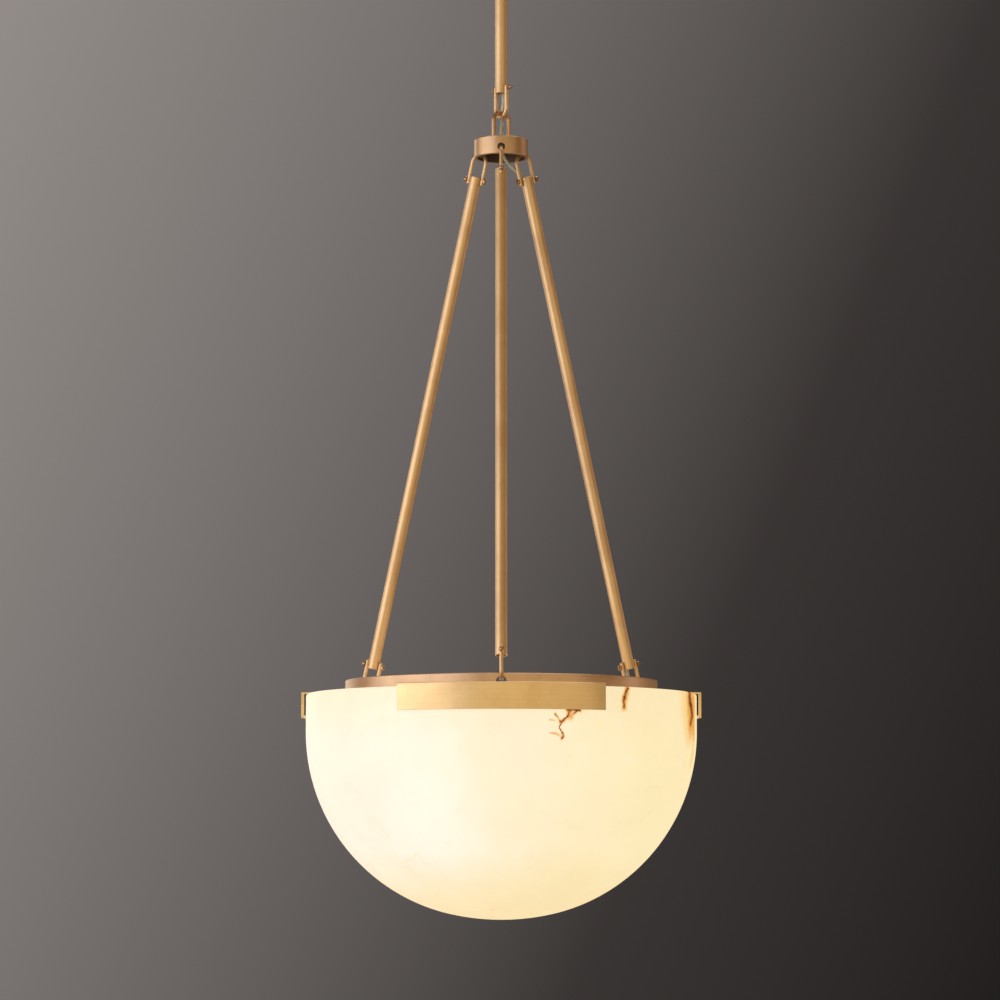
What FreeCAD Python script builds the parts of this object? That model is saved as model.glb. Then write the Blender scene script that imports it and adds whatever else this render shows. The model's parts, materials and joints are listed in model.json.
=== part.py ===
import FreeCAD, Part
import math
import os
from FreeCAD import Placement, Rotation, Vector

# Pendant lamp: an alabaster bowl carried by a brass ring on three sloping tubes.
# Millimetres, +Z up. The origin is the centre of the ceiling face, and the lamp
# hangs towards -Z. The front arm points along -Y.

# ---------------------------------------------------------------- driving sizes
FRONT_ARM_ANGLE = -90.0
LEFT_ARM_ANGLE = 150.0
RIGHT_ARM_ANGLE = 30.0
ARM_ANGLES = {"front": FRONT_ARM_ANGLE, "left": LEFT_ARM_ANGLE, "right": RIGHT_ARM_ANGLE}
CABLE_ARM = "right"

# ceiling strap: a bent steel strip that stands off the ceiling in its middle
STRAP_LENGTH = 112.0
STRAP_WIDTH = 22.0
STRAP_THICKNESS = 2.0
STRAP_DROP = 20.0
STRAP_LOW_LENGTH = 60.0
STRAP_WEB_RUN = 8.0
SLOT_SPACING = 88.9
SLOT_LENGTH = 12.0
SLOT_WIDTH = 4.4

# threaded nipple and its nut
NIPPLE_DIAMETER = 10.1
NIPPLE_BORE = 7.2
NIPPLE_ABOVE_NUT = 0.5
NIPPLE_IN_STEM = 18.0
NIPPLE_NUT_FLATS = 14.0
NIPPLE_NUT_HEIGHT = 3.5

# canopy and its two screws with cap nuts
CANOPY_DIAMETER = 120.0
CANOPY_HEIGHT = 30.0
CANOPY_WALL = 1.2
CANOPY_CORNER = 5.0
CANOPY_SCREW_DIAMETER = 3.9
CANOPY_SCREW_SPACING = 50.0
CANOPY_SCREW_BELOW = 6.0
CANOPY_SCREW_HOLE = 4.6
SCREW_HEAD_DIAMETER = 7.0
SCREW_HEAD_HEIGHT = 2.4
CAP_NUT_DIAMETER = 8.0
CAP_NUT_SKIRT = 4.5

# earth screw and terminal block on the strap
EARTH_SCREW_X = 14.5
EARTH_SCREW_BELOW = 2.0
BLOCK_BESIDE_NUT = 2.1
BLOCK_WIDTH = 10.0
BLOCK_LENGTH = 20.0
BLOCK_HEIGHT = 16.5
BLOCK_POLES = 3
BLOCK_SCREW_HOLE = 3.0
BLOCK_SCREW_DEPTH = 6.0
BLOCK_ENTRY_DEPTH = 6.0

# stem
STEM_DIAMETER = 13.0
STEM_BORE = 10.2
STEM_LENGTH = 152.0

# shackle: a rod bent to a U, pinned across the stem's lower end
LINK_ROD = 4.5
LINK_CENTRES = 19.0
LINK_ANGLE = -55.0
SHACKLE_PIN_INSET = 4.6
SHACKLE_LEG = 19.85
SHACKLE_TIP = 4.4
SHACKLE_HEAD_DIAMETER = 4.2
SHACKLE_HEAD_LENGTH = 7.5

# loop on the hub, linked through the shackle
LOOP_LEG = 20.05
LOOP_NUT_FLATS = 8.0
LOOP_NUT_HEIGHT = 3.5
LOOP_THREAD_BELOW_NUT = 1.0

# hub: a cap open below, with a hole in its wall for each hook
HUB_DIAMETER = 56.0
HUB_HEIGHT = 18.7
HUB_WALL = 3.0
HUB_HOLE = 8.0
HUB_HOLE_HEIGHT = 7.1
GROMMET_HOLE = 6.6
GROMMET_FLANGE = 9.0
GROMMET_LIP = 1.2
GROMMET_BORE = 3.8

# hooks: rods bent to a U, pinned across the ends of the arm tubes
HOOK_ROD = 4.0
HOOK_CENTRES = 16.4
HOOK_REACH = 15.0
HOOK_PIN_INSET = 3.5
HOOK_TIP = 5.3
PIN_DIAMETER = 2.4
PIN_HEAD_DIAMETER = 5.6
PIN_HEAD_LENGTH = 4.0
PIN_NUT_FLATS = 5.0
PIN_NUT_HEIGHT = 2.2
PIN_TAIL = 0.8

# arm tubes
ARM_DIAMETER = 12.0
ARM_BORE = 10.2
ARM_LENGTH = 525.5

# support ring: a flat brass band with a hole for each lower hook
RING_DIAMETER = 320.0
RING_WALL = 3.0
RING_HEIGHT = 20.0
RING_HOLE = 11.0
RING_HOLE_HEIGHT = 11.6
RING_BELOW_RIM = 6.2

# bowl: an upright collar, a side arc and a flatter base arc
BOWL_DIAMETER = 400.0
BOWL_DEPTH = 229.2
BOWL_WALL = 12.0
BOWL_COLLAR = 38.0
BOWL_BASE_ANGLE = 12.43
BOWL_EDGE = 1.5

# rim brackets: a curved apron outside the bowl and a flange over its rim
APRON_HALF_ANGLE = 29.9
APRON_THICKNESS = 3.0
APRON_HEIGHT = 26.5
FLANGE_THICKNESS = 2.0
FLANGE_REACH = 19.0
TONGUE_HALF_ANGLE = 9.3
TAB_THICKNESS = 2.5
PAD_THICKNESS = 2.1
RIM_PAD_THICKNESS = 0.8
PAD_HEIGHT = 21.0
PAD_HALF_ANGLE = 29.1

# screws that clamp a bracket, the ring and the lamp spider together
BRACKET_SCREW_DIAMETER = 4.0
BRACKET_SCREW_ANGLE = 5.8
BRACKET_SCREW_HEIGHT = 3.6
BRACKET_HEAD_DIAMETER = 6.0
BRACKET_HEAD_HEIGHT = 2.4

# studs, bushes and nuts that hold the bowl on the brackets
STUD_DIAMETER = 5.0
STUD_ANGLE = 16.0
STUD_DEPTH = 12.0
STUD_LENGTH = 25.0
BUSH_DIAMETER = 8.8
BUSH_FLANGE = 14.0
BUSH_FLANGE_THICKNESS = 2.0
BOWL_NUT_FLATS = 8.0
BOWL_NUT_HEIGHT = 5.0
BOWL_NUT_FLANGE = 12.0
BOWL_NUT_FLANGE_THICKNESS = 1.2

# lamp spider: three strips from the ring to a disc in the middle
SPIDER_THICKNESS = 2.0
SPIDER_LEG_WIDTH = 14.0
SPIDER_DISC = 50.0
SPIDER_TAB_HALF_ANGLE = 8.4
SPIDER_TAB_HEIGHT = 8.6
SPIDER_FOOT_DEPTH = 8.0
SPIDER_CABLE_HOLE = 6.0
SPIDER_CABLE_RADIUS = 12.0

# cluster under the spider: body, rod and nuts
CLUSTER_DIAMETER = 48.0
CLUSTER_HEIGHT = 28.0
CLUSTER_WALL = 3.0
CLUSTER_ROD = 6.0
CLUSTER_NUT_FLATS = 10.0
CLUSTER_NUT_HEIGHT = 5.0
CLUSTER_ROD_ABOVE = 1.5
CLUSTER_CAP_NUT = 12.0
CLUSTER_CAP_SKIRT = 4.0
CONNECTOR_SIZE = (12.0, 9.0, 8.0)

# lampholders and bulbs
HOLDER_COUNT = 3
HOLDER_FIRST_ANGLE = 90.0
HOLDER_DROOP_ANGLE = 15.0
HOLDER_AXIS_DEPTH = 13.0
HOLDER_DIAMETER = 28.0
HOLDER_LENGTH = 34.0
HOLDER_BACK = 8.0
HOLDER_STUB = 10.0
HOLDER_STUB_BORE = 6.0
HOLDER_STUB_INSIDE = 1.5
BULB_CAP_DIAMETER = 13.6
BULB_CAP_LENGTH = 22.0
BULB_SKIRT_DIAMETER = 23.0
BULB_SKIRT_LENGTH = 6.0
BULB_DIAMETER = 45.0
BULB_CENTRE = 31.0
BULB_GLASS = 1.0

# cable, clear two-core, drawn as one round tube, and the wires of the lampholders
CABLE_DIAMETER = 3.4
CABLE_BEHIND_LINKS = 6.7
CABLE_ABOVE_NUT = 10.0
CABLE_IN_STEM = 22.0
CABLE_IN_ARM = 14.0
WIRE_DIAMETER = 1.8
WIRE_CLEAR = 0.6
WIRE_IN_STUB = 4.0
WIRE_BEFORE_STUB = 2.0

# clearances
RUNNING_GAP = 0.05
SLIDING_GAP = 0.3
LINK_GAP = 0.3
UPPER_HOOK_GAP = 0.3
LOWER_HOOK_GAP = 0.6
SEAT_GAP = 0.05
EDGE_BREAK = 0.5

# ---------------------------------------------------------------- derived places
link_r = LINK_ROD / 2
link_bend = LINK_CENTRES / 2
hook_r = HOOK_ROD / 2
hook_bend = HOOK_CENTRES / 2
pin_r = PIN_DIAMETER / 2
pin_hole_r = pin_r + RUNNING_GAP
cable_r = CABLE_DIAMETER / 2

strap_top_z = -STRAP_DROP + STRAP_THICKNESS
stem_top_z = -STRAP_DROP
stem_end_z = stem_top_z - STEM_LENGTH
nipple_top_z = strap_top_z + NIPPLE_NUT_HEIGHT + NIPPLE_ABOVE_NUT
cable_exit_z = nipple_top_z + CABLE_ABOVE_NUT
terminal_x = -NIPPLE_NUT_FLATS / math.sqrt(3) - BLOCK_BESIDE_NUT
shackle_pin_z = stem_end_z + SHACKLE_PIN_INSET
shackle_bend_z = shackle_pin_z - SHACKLE_LEG
loop_top_z = shackle_bend_z - link_bend + LINK_ROD + LINK_GAP
loop_bend_z = loop_top_z - link_bend
hub_top_z = loop_bend_z - LOOP_LEG
hub_bottom_z = hub_top_z - HUB_HEIGHT
hub_wall_r = (HUB_DIAMETER - HUB_WALL) / 2
ring_r = RING_DIAMETER / 2
ring_wall_r = ring_r - RING_WALL / 2

# each hook's bend centre stands over the middle of the wall that it goes through
hook_inner = hook_bend - hook_r


def bend_sag(wall):
    """How far the hook's inner arc falls away over half the wall's thickness."""
    return hook_inner - math.sqrt(hook_inner ** 2 - (wall / 2) ** 2)


hub_hole_bottom = hub_bottom_z + HUB_HOLE_HEIGHT - HUB_HOLE / 2
upper_bend_z = hub_hole_bottom + UPPER_HOOK_GAP + bend_sag(HUB_WALL) - hook_inner
bend_distance = ARM_LENGTH + 2 * HOOK_REACH
arm_tilt = math.asin((ring_wall_r - hub_wall_r) / bend_distance)
upper_pin_distance = HOOK_REACH + HOOK_PIN_INSET
lower_pin_distance = bend_distance - upper_pin_distance
lower_bend_z = upper_bend_z - bend_distance * math.cos(arm_tilt)
ring_hole_top = lower_bend_z - hook_inner + LOWER_HOOK_GAP + bend_sag(RING_WALL)
ring_hole_z = ring_hole_top - RING_HOLE / 2
ring_bottom_z = ring_hole_z - RING_HOLE_HEIGHT
rim_z = ring_bottom_z + RING_BELOW_RIM

bowl_r = BOWL_DIAMETER / 2
bowl_inner_r = bowl_r - BOWL_WALL
apron_inner_r = bowl_r + PAD_THICKNESS
flange_low_z = rim_z + RIM_PAD_THICKNESS
flange_top_z = flange_low_z + FLANGE_THICKNESS
bracket_screw_z = ring_bottom_z + BRACKET_SCREW_HEIGHT
bracket_screw_hole = BRACKET_SCREW_DIAMETER / 2 + RUNNING_GAP
stud_z = rim_z - STUD_DEPTH
bush_r = BUSH_DIAMETER / 2
bush_face_r = math.sqrt(bowl_inner_r ** 2 - (BUSH_FLANGE / 2) ** 2) - SEAT_GAP

spider_low_z = ring_bottom_z - SPIDER_THICKNESS
cluster_top_z = spider_low_z
cluster_low_z = cluster_top_z - CLUSTER_HEIGHT
cluster_inner_r = CLUSTER_DIAMETER / 2 - CLUSTER_WALL
connector_low_z = cluster_low_z + CLUSTER_WALL
connector_top_z = connector_low_z + CONNECTOR_SIZE[2]
droop = math.radians(HOLDER_DROOP_ANGLE)
holder_axis_z = cluster_top_z - HOLDER_AXIS_DEPTH
holder_edge_drop = HOLDER_DIAMETER / 2 * math.sin(droop)
holder_start = (CLUSTER_DIAMETER / 2 + SLIDING_GAP + holder_edge_drop) / math.cos(droop)
stub_length = holder_start - cluster_inner_r / math.cos(droop) + HOLDER_STUB_INSIDE
bulb_seat = holder_start + HOLDER_LENGTH

across = Vector(math.cos(math.radians(LINK_ANGLE)), math.sin(math.radians(LINK_ANGLE)), 0)
along = Vector(-across.y, across.x, 0)
up = Vector(0, 0, 1)

# Offsets that let the cable pass beside the cross pins.
beside_stem_pin = (STEM_BORE / 2 + pin_r) / 2
beside_arm_pin = (ARM_BORE / 2 + pin_r) / 2
behind_links = (along - across).normalize()
stem_handover = along * beside_stem_pin + up * (stem_end_z + CABLE_IN_STEM)
link_crossing = behind_links * CABLE_BEHIND_LINKS + up * (loop_top_z - CABLE_DIAMETER)
grommet_top = up * (hub_top_z + GROMMET_LIP)
tube_top = HOOK_REACH
tube_end = HOOK_REACH + ARM_LENGTH


# ---------------------------------------------------------------- shape helpers
def radial(angle, length=1.0):
    """A level vector at this angle about the lamp's axis."""
    return Vector(math.cos(math.radians(angle)) * length, math.sin(math.radians(angle)) * length, 0)


def rod_between(start, end, radius):
    return Part.makeCylinder(radius, (end - start).Length, start, end - start)


def capped_rod(start, end, radius):
    """A rod from start to end, with a half dome beyond its end."""
    dome = Part.makeSphere(radius, end, end - start, 0, 90, 360)
    return rod_between(start, end, radius).fuse(dome)


def lathe(path, sweep=360.0, start_angle=0.0):
    """Turn a closed outline about Z. The path holds (r, z) points, and a point with
    four numbers (via_r, via_z, r, z) is reached by an arc."""
    points = [Vector(step[-2], 0, step[-1]) for step in path]
    edges = []
    for index, step in enumerate(path):
        before = points[index - 1]
        here = points[index]
        if len(step) == 4:
            edges.append(Part.Arc(before, Vector(step[0], 0, step[1]), here).toShape())
        else:
            edges.append(Part.makeLine(before, here))
    face = Part.Face(Part.Wire(edges))
    face.rotate(Vector(), up, start_angle)
    return face.revolve(Vector(), up, sweep)


def turned_ring(inner, outer, low, high, edge=0.0):
    """A plain ring of rectangular section, its outer edges broken by edge."""
    path = [(inner, low), (outer - edge, low), (outer, low + edge), (outer, high - edge)]
    path += [(outer - edge, high), (inner, high)]
    if edge == 0.0:
        path = [(inner, low), (outer, low), (outer, high), (inner, high)]
    return lathe(path)


def sector(inner, outer, low, high, middle, half_angle, edge=0.0):
    """Part of a ring, half_angle to each side of the middle angle."""
    path = [(inner, low), (outer, low), (outer, high - edge), (outer - edge, high), (inner, high)]
    if edge == 0.0:
        path = [(inner, low), (outer, low), (outer, high), (inner, high)]
    return lathe(path, 2 * half_angle, middle - half_angle)


def hexagon(flats, height, low, bore=0.0):
    """A hexagonal nut along Z from low, with a plain bore."""
    corner = flats / math.sqrt(3)
    points = [radial(60 * side, corner) + up * low for side in range(7)]
    nut = Part.Face(Part.makePolygon(points)).extrude(up * height)
    if bore > 0:
        nut = nut.cut(Part.makeCylinder(bore, height, up * low))
    return nut


def aimed(shape, origin, direction):
    """The shape moved so that its own Z axis starts at origin and points along direction."""
    moved = shape.copy()
    moved.Placement = Placement(origin, Rotation(up, direction)).multiply(moved.Placement)
    return moved


def bent_rod(radius, bend_radius, leg, tip):
    """A U in the XZ plane about its bend's centre, open below, with rounded ends."""
    left_end = Vector(-bend_radius, 0, -leg - tip)
    right_end = Vector(bend_radius, 0, -leg - tip)
    left = Vector(-bend_radius, 0, 0)
    right = Vector(bend_radius, 0, 0)
    bend = Part.Arc(left, Vector(0, 0, bend_radius), right).toShape()
    path = Part.Wire([Part.makeLine(left_end, left), bend, Part.makeLine(right, right_end)])
    circle = Part.Wire([Part.makeCircle(radius, left_end, up)])
    body = path.makePipeShell([circle], True, False)
    for end in (left_end, right_end):
        body = body.fuse(Part.makeSphere(radius, end))
    return body.removeSplitter()


def cable(name, points, radius):
    """A tube along straight runs joined by tangent arcs."""
    runs = [(points[i + 1] - points[i]) for i in range(len(points) - 1)]
    edges = []
    here = points[0]
    length = 0.0
    tightest = None
    for index in range(1, len(points) - 1):
        before = runs[index - 1]
        after = runs[index]
        half_turn = before.getAngle(after) / 2
        reach = 0.45 * min(before.Length, after.Length)
        bend = reach / math.tan(half_turn)
        into = Vector(before).normalize()
        out = Vector(after).normalize()
        first = points[index] - into * reach
        last = points[index] + out * reach
        inward = (out - into).normalize()
        middle = points[index] + inward * (bend / math.cos(half_turn) - bend)
        edges.append(Part.makeLine(here, first))
        edges.append(Part.Arc(first, middle, last).toShape())
        length += (first - here).Length + 2 * half_turn * bend
        here = last
        tightest = bend if tightest is None else min(tightest, bend)
    edges.append(Part.makeLine(here, points[-1]))
    length += (points[-1] - here).Length
    path = Part.Wire(edges)
    circle = Part.Wire([Part.makeCircle(radius, points[0], runs[0])])
    tube = path.makePipeShell([circle], True, False)
    ratio = tube.Volume / (math.pi * radius ** 2 * length)
    print(f"{name}: length {length:.1f}, tightest radius {tightest:.1f}, volume ratio {ratio:.4f}")
    return tube


def pin_with_nut(half_gap, head_diameter, head_length):
    """A cross pin along X: rounded head on +X, nut on -X. Each is its own solid."""
    dome = head_diameter / 2
    head = capped_rod(Vector(half_gap, 0, 0), Vector(half_gap + head_length - dome, 0, 0), dome)
    tail = -half_gap - PIN_NUT_HEIGHT - PIN_TAIL
    shank = rod_between(Vector(tail, 0, 0), Vector(half_gap + RUNNING_GAP, 0, 0), pin_r)
    nut = hexagon(PIN_NUT_FLATS, PIN_NUT_HEIGHT, half_gap, pin_hole_r)
    nut = aimed(nut, Vector(), Vector(-1, 0, 0))
    return [head.fuse(shank).removeSplitter(), nut]


# ---------------------------------------------------------------- ceiling parts
def ceiling_strap():
    half = STRAP_LENGTH / 2
    low_half = STRAP_LOW_LENGTH / 2
    foot = low_half + STRAP_WEB_RUN
    slope = math.hypot(STRAP_WEB_RUN, -strap_top_z)
    shift = STRAP_THICKNESS * (slope - STRAP_WEB_RUN) / -strap_top_z
    right = [(half, 0), (foot, 0), (low_half, strap_top_z)]
    under = [(low_half + shift, -STRAP_DROP), (foot + shift, -STRAP_THICKNESS), (half, -STRAP_THICKNESS)]
    top = right + [(-x, z) for x, z in reversed(right)]
    outline = top + [(-x, z) for x, z in reversed(under)] + under
    corners = [Vector(x, -STRAP_WIDTH / 2, z) for x, z in outline]
    strap = Part.Face(Part.makePolygon(corners + corners[:1])).extrude(Vector(0, STRAP_WIDTH, 0))
    holes = {0.0: NIPPLE_DIAMETER, EARTH_SCREW_X: CANOPY_SCREW_DIAMETER}
    for side in (-1, 1):
        strap = strap.cut(slot_tool(side * SLOT_SPACING / 2))
        holes[side * CANOPY_SCREW_SPACING / 2] = CANOPY_SCREW_DIAMETER
    for x, diameter in holes.items():
        hole_r = diameter / 2 + RUNNING_GAP
        strap = strap.cut(Part.makeCylinder(hole_r, STRAP_DROP, Vector(x, 0, -STRAP_DROP)))
    return strap


def slot_tool(x):
    """The slot for a ceiling screw, long along the strap."""
    run = (SLOT_LENGTH - SLOT_WIDTH) / 2
    depth = 2 * STRAP_THICKNESS
    low = -1.5 * STRAP_THICKNESS
    tool = Part.makeBox(2 * run, SLOT_WIDTH, depth, Vector(x - run, -SLOT_WIDTH / 2, low))
    for end in (-run, run):
        tool = tool.fuse(Part.makeCylinder(SLOT_WIDTH / 2, depth, Vector(x + end, 0, low)))
    return tool


def threaded_nipple():
    low = stem_top_z - NIPPLE_IN_STEM
    return turned_ring(NIPPLE_BORE / 2, NIPPLE_DIAMETER / 2, low, nipple_top_z, EDGE_BREAK)


def nipple_nut():
    bore = NIPPLE_DIAMETER / 2 + RUNNING_GAP
    return hexagon(NIPPLE_NUT_FLATS, NIPPLE_NUT_HEIGHT, strap_top_z, bore)


def machine_screw(x, below):
    """A screw down through the strap, its head on top of it."""
    top = Vector(x, 0, strap_top_z)
    head = Part.makeCylinder(SCREW_HEAD_DIAMETER / 2, SCREW_HEAD_HEIGHT, top)
    shank = rod_between(Vector(x, 0, below), top, CANOPY_SCREW_DIAMETER / 2)
    return head.fuse(shank).removeSplitter()


def canopy_screw(x):
    return machine_screw(x, -CANOPY_HEIGHT - CANOPY_SCREW_BELOW)


def terminal_block():
    base = Vector(terminal_x - BLOCK_WIDTH, -BLOCK_LENGTH / 2, strap_top_z)
    block = Part.makeBox(BLOCK_WIDTH, BLOCK_LENGTH, BLOCK_HEIGHT, base)
    pitch = BLOCK_LENGTH / BLOCK_POLES
    top = strap_top_z + BLOCK_HEIGHT
    for pole in range(BLOCK_POLES):
        y = (pole - (BLOCK_POLES - 1) / 2) * pitch
        place = Vector(terminal_x - BLOCK_WIDTH / 2, y, top - BLOCK_SCREW_DEPTH / 2)
        block = block.cut(Part.makeCylinder(BLOCK_SCREW_HOLE / 2, BLOCK_SCREW_DEPTH, place))
    mouth = Vector(terminal_x, 0, cable_exit_z)
    entry = rod_between(mouth - Vector(BLOCK_ENTRY_DEPTH, 0, 0), mouth, cable_r + RUNNING_GAP)
    return block.cut(entry)


def canopy():
    outer = CANOPY_DIAMETER / 2
    inner = outer - CANOPY_WALL
    hole = STEM_DIAMETER / 2 + SLIDING_GAP
    low = -CANOPY_HEIGHT
    floor = low + CANOPY_WALL
    corner = CANOPY_CORNER
    fine = corner - CANOPY_WALL
    lean = math.sqrt(0.5)
    path = [
        (inner, 0),
        (inner, low + corner),
        (inner - fine + fine * lean, floor + fine - fine * lean, inner - fine, floor),
        (hole, floor),
        (hole, low),
        (outer - corner, low),
        (outer - corner + corner * lean, low + corner - corner * lean, outer, low + corner),
        (outer, 0),
    ]
    shell = lathe(path)
    for side in (-1, 1):
        place = Vector(side * CANOPY_SCREW_SPACING / 2, 0, low)
        shell = shell.cut(Part.makeCylinder(CANOPY_SCREW_HOLE / 2, CANOPY_WALL, place))
    return shell


def canopy_cap_nut(x):
    radius = CAP_NUT_DIAMETER / 2
    top = Vector(x, 0, -CANOPY_HEIGHT - SEAT_GAP)
    dome_centre = top - up * CAP_NUT_SKIRT
    body = capped_rod(top, dome_centre, radius)
    bore_depth = CANOPY_SCREW_BELOW + SLIDING_GAP
    bore = rod_between(top - up * bore_depth, top, CANOPY_SCREW_DIAMETER / 2 + RUNNING_GAP)
    return body.removeSplitter().cut(bore)


def stem():
    tube = turned_ring(STEM_BORE / 2, STEM_DIAMETER / 2, stem_end_z, stem_top_z, EDGE_BREAK)
    half = across * STEM_DIAMETER
    centre = up * shackle_pin_z
    return tube.cut(rod_between(centre - half, centre + half, pin_hole_r))


# ---------------------------------------------------------------- links and hub
def link_frame(shape, centre_z, direction, upside_down=False):
    """Place a shape drawn in the XZ plane in the upright plane through this direction."""
    moved = shape.copy()
    if upside_down:
        moved.rotate(Vector(), Vector(1, 0, 0), 180)
    moved.rotate(Vector(), up, math.degrees(math.atan2(direction.y, direction.x)))
    moved.translate(up * centre_z)
    return moved


def shackle():
    rod = bent_rod(link_r, link_bend, SHACKLE_LEG, SHACKLE_TIP - link_r)
    reach = link_bend + LINK_ROD
    hole = rod_between(Vector(-reach, 0, -SHACKLE_LEG), Vector(reach, 0, -SHACKLE_LEG), pin_hole_r)
    return link_frame(rod.cut(hole), shackle_bend_z, across, True)


def shackle_pin():
    half_gap = link_bend + link_r + RUNNING_GAP
    pieces = pin_with_nut(half_gap, SHACKLE_HEAD_DIAMETER, SHACKLE_HEAD_LENGTH)
    return [link_frame(piece, shackle_pin_z, across) for piece in pieces]


def hub_loop():
    below = HUB_WALL + LOOP_NUT_HEIGHT + LOOP_THREAD_BELOW_NUT
    rod = bent_rod(link_r, link_bend, LOOP_LEG, below - link_r)
    return link_frame(rod, loop_bend_z, along)


def hub_loop_nuts():
    low = hub_top_z - HUB_WALL - LOOP_NUT_HEIGHT
    nut = hexagon(LOOP_NUT_FLATS, LOOP_NUT_HEIGHT, low, link_r + RUNNING_GAP)
    nuts = []
    for side in (-1, 1):
        one = nut.copy()
        one.translate(along * (side * link_bend))
        nuts.append(one)
    return nuts


def hub_cap():
    outer = HUB_DIAMETER / 2
    inner = outer - HUB_WALL
    ceiling = hub_top_z - HUB_WALL
    hole = GROMMET_HOLE / 2
    path = [
        (hole, ceiling),
        (inner, ceiling),
        (inner, hub_bottom_z),
        (outer - EDGE_BREAK, hub_bottom_z),
        (outer, hub_bottom_z + EDGE_BREAK),
        (outer, hub_top_z - EDGE_BREAK),
        (outer - EDGE_BREAK, hub_top_z),
        (hole, hub_top_z),
    ]
    cap = lathe(path)
    for side in (-1, 1):
        place = along * (side * link_bend) + up * ceiling
        cap = cap.cut(Part.makeCylinder(link_r + RUNNING_GAP, HUB_WALL, place))
    hook_z = hub_bottom_z + HUB_HOLE_HEIGHT
    for angle in ARM_ANGLES.values():
        start = radial(angle, inner - HUB_WALL) + up * hook_z
        end = radial(angle, outer + HUB_WALL) + up * hook_z
        cap = cap.cut(rod_between(start, end, HUB_HOLE / 2))
    return cap


def hub_grommet():
    bore = GROMMET_BORE / 2
    neck = GROMMET_HOLE / 2 - SEAT_GAP
    lip = GROMMET_FLANGE / 2
    low = hub_top_z - HUB_WALL
    path = [
        (bore, low - GROMMET_LIP),
        (lip, low - GROMMET_LIP),
        (lip, low),
        (neck, low),
        (neck, hub_top_z),
        (lip, hub_top_z),
        (lip, hub_top_z + GROMMET_LIP),
        (bore, hub_top_z + GROMMET_LIP),
    ]
    return lathe(path)


# ---------------------------------------------------------------- arms and hooks
def arm_frame(shape, angle, distance):
    """Place a shape drawn with Z along the arm, X outward. The distance is measured
    down the arm from the upper hook's bend centre."""
    moved = shape.copy()
    moved.rotate(Vector(), Vector(0, 1, 0), -math.degrees(arm_tilt))
    moved.rotate(Vector(), up, angle)
    moved.translate(arm_point(angle, distance))
    return moved


def arm_point(angle, distance, sideways=0.0, outward=0.0):
    """A point by the arm: down it from the upper bend centre, sideways, and outward."""
    sine = math.sin(arm_tilt)
    cosine = math.cos(arm_tilt)
    level = hub_wall_r + distance * sine + outward * cosine
    height = upper_bend_z - distance * cosine + outward * sine
    return radial(angle, level) + radial(angle + 90, sideways) + up * height


def hook():
    rod = bent_rod(hook_r, hook_bend, HOOK_REACH + HOOK_PIN_INSET, HOOK_TIP - hook_r)
    reach = hook_bend + HOOK_ROD
    pin_z = -HOOK_REACH - HOOK_PIN_INSET
    return rod.cut(rod_between(Vector(-reach, 0, pin_z), Vector(reach, 0, pin_z), pin_hole_r))


def upper_hook(angle):
    return arm_frame(hook(), angle, 0)


def lower_hook(angle):
    turned = hook()
    turned.rotate(Vector(), Vector(1, 0, 0), 180)
    return arm_frame(turned, angle, bend_distance)


def hook_pin(angle, distance):
    half_gap = hook_bend + hook_r + RUNNING_GAP
    pieces = pin_with_nut(half_gap, PIN_HEAD_DIAMETER, PIN_HEAD_LENGTH)
    return [arm_frame(piece, angle, distance) for piece in pieces]


def arm_tube(angle):
    top = -HOOK_REACH
    low = top - ARM_LENGTH
    tube = turned_ring(ARM_BORE / 2, ARM_DIAMETER / 2, low, top, EDGE_BREAK)
    for z in (top - HOOK_PIN_INSET, low + HOOK_PIN_INSET):
        reach = Vector(ARM_DIAMETER, 0, 0)
        tube = tube.cut(rod_between(up * z - reach, up * z + reach, pin_hole_r))
    return arm_frame(tube, angle, 0)


# ---------------------------------------------------------------- ring and brackets
def bracket_screw_places():
    for angle in ARM_ANGLES.values():
        for side in (-1, 1):
            yield angle + side * BRACKET_SCREW_ANGLE


def stud_places():
    for angle in ARM_ANGLES.values():
        for side in (-1, 1):
            yield angle + side * STUD_ANGLE


def level_rod(angle, start_r, end_r, z, radius):
    """A level rod along the radius at this angle."""
    return rod_between(radial(angle, start_r) + up * z, radial(angle, end_r) + up * z, radius)


def support_ring():
    inner = ring_r - RING_WALL
    ring = turned_ring(inner, ring_r, ring_bottom_z, ring_bottom_z + RING_HEIGHT, EDGE_BREAK)
    start = inner - RING_WALL
    end = ring_r + RING_WALL
    for angle in ARM_ANGLES.values():
        ring = ring.cut(level_rod(angle, start, end, ring_hole_z, RING_HOLE / 2))
    for angle in bracket_screw_places():
        ring = ring.cut(level_rod(angle, start, end, bracket_screw_z, bracket_screw_hole))
    return ring


def rim_bracket(angle):
    """Apron outside the bowl, flange over its rim, and a tongue and tab to the ring."""
    outer = apron_inner_r + APRON_THICKNESS
    flange_inner = outer - FLANGE_REACH
    tab_inner = ring_r + SEAT_GAP
    tab_outer = tab_inner + TAB_THICKNESS
    top = flange_top_z
    half = APRON_HALF_ANGLE
    apron = sector(apron_inner_r, outer, top - APRON_HEIGHT, top, angle, half, EDGE_BREAK)
    flange = sector(flange_inner, apron_inner_r, flange_low_z, top, angle, half)
    tongue = sector(tab_inner, flange_inner, flange_low_z, top, angle, TONGUE_HALF_ANGLE)
    tab = sector(tab_inner, tab_outer, ring_bottom_z, top, angle, TONGUE_HALF_ANGLE)
    bracket = apron.fuse([flange, tongue, tab]).removeSplitter()
    for side in (-1, 1):
        place = angle + side * BRACKET_SCREW_ANGLE
        start = ring_r - RING_WALL
        end = tab_outer + RING_WALL
        bracket = bracket.cut(level_rod(place, start, end, bracket_screw_z, bracket_screw_hole))
    return bracket


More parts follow.
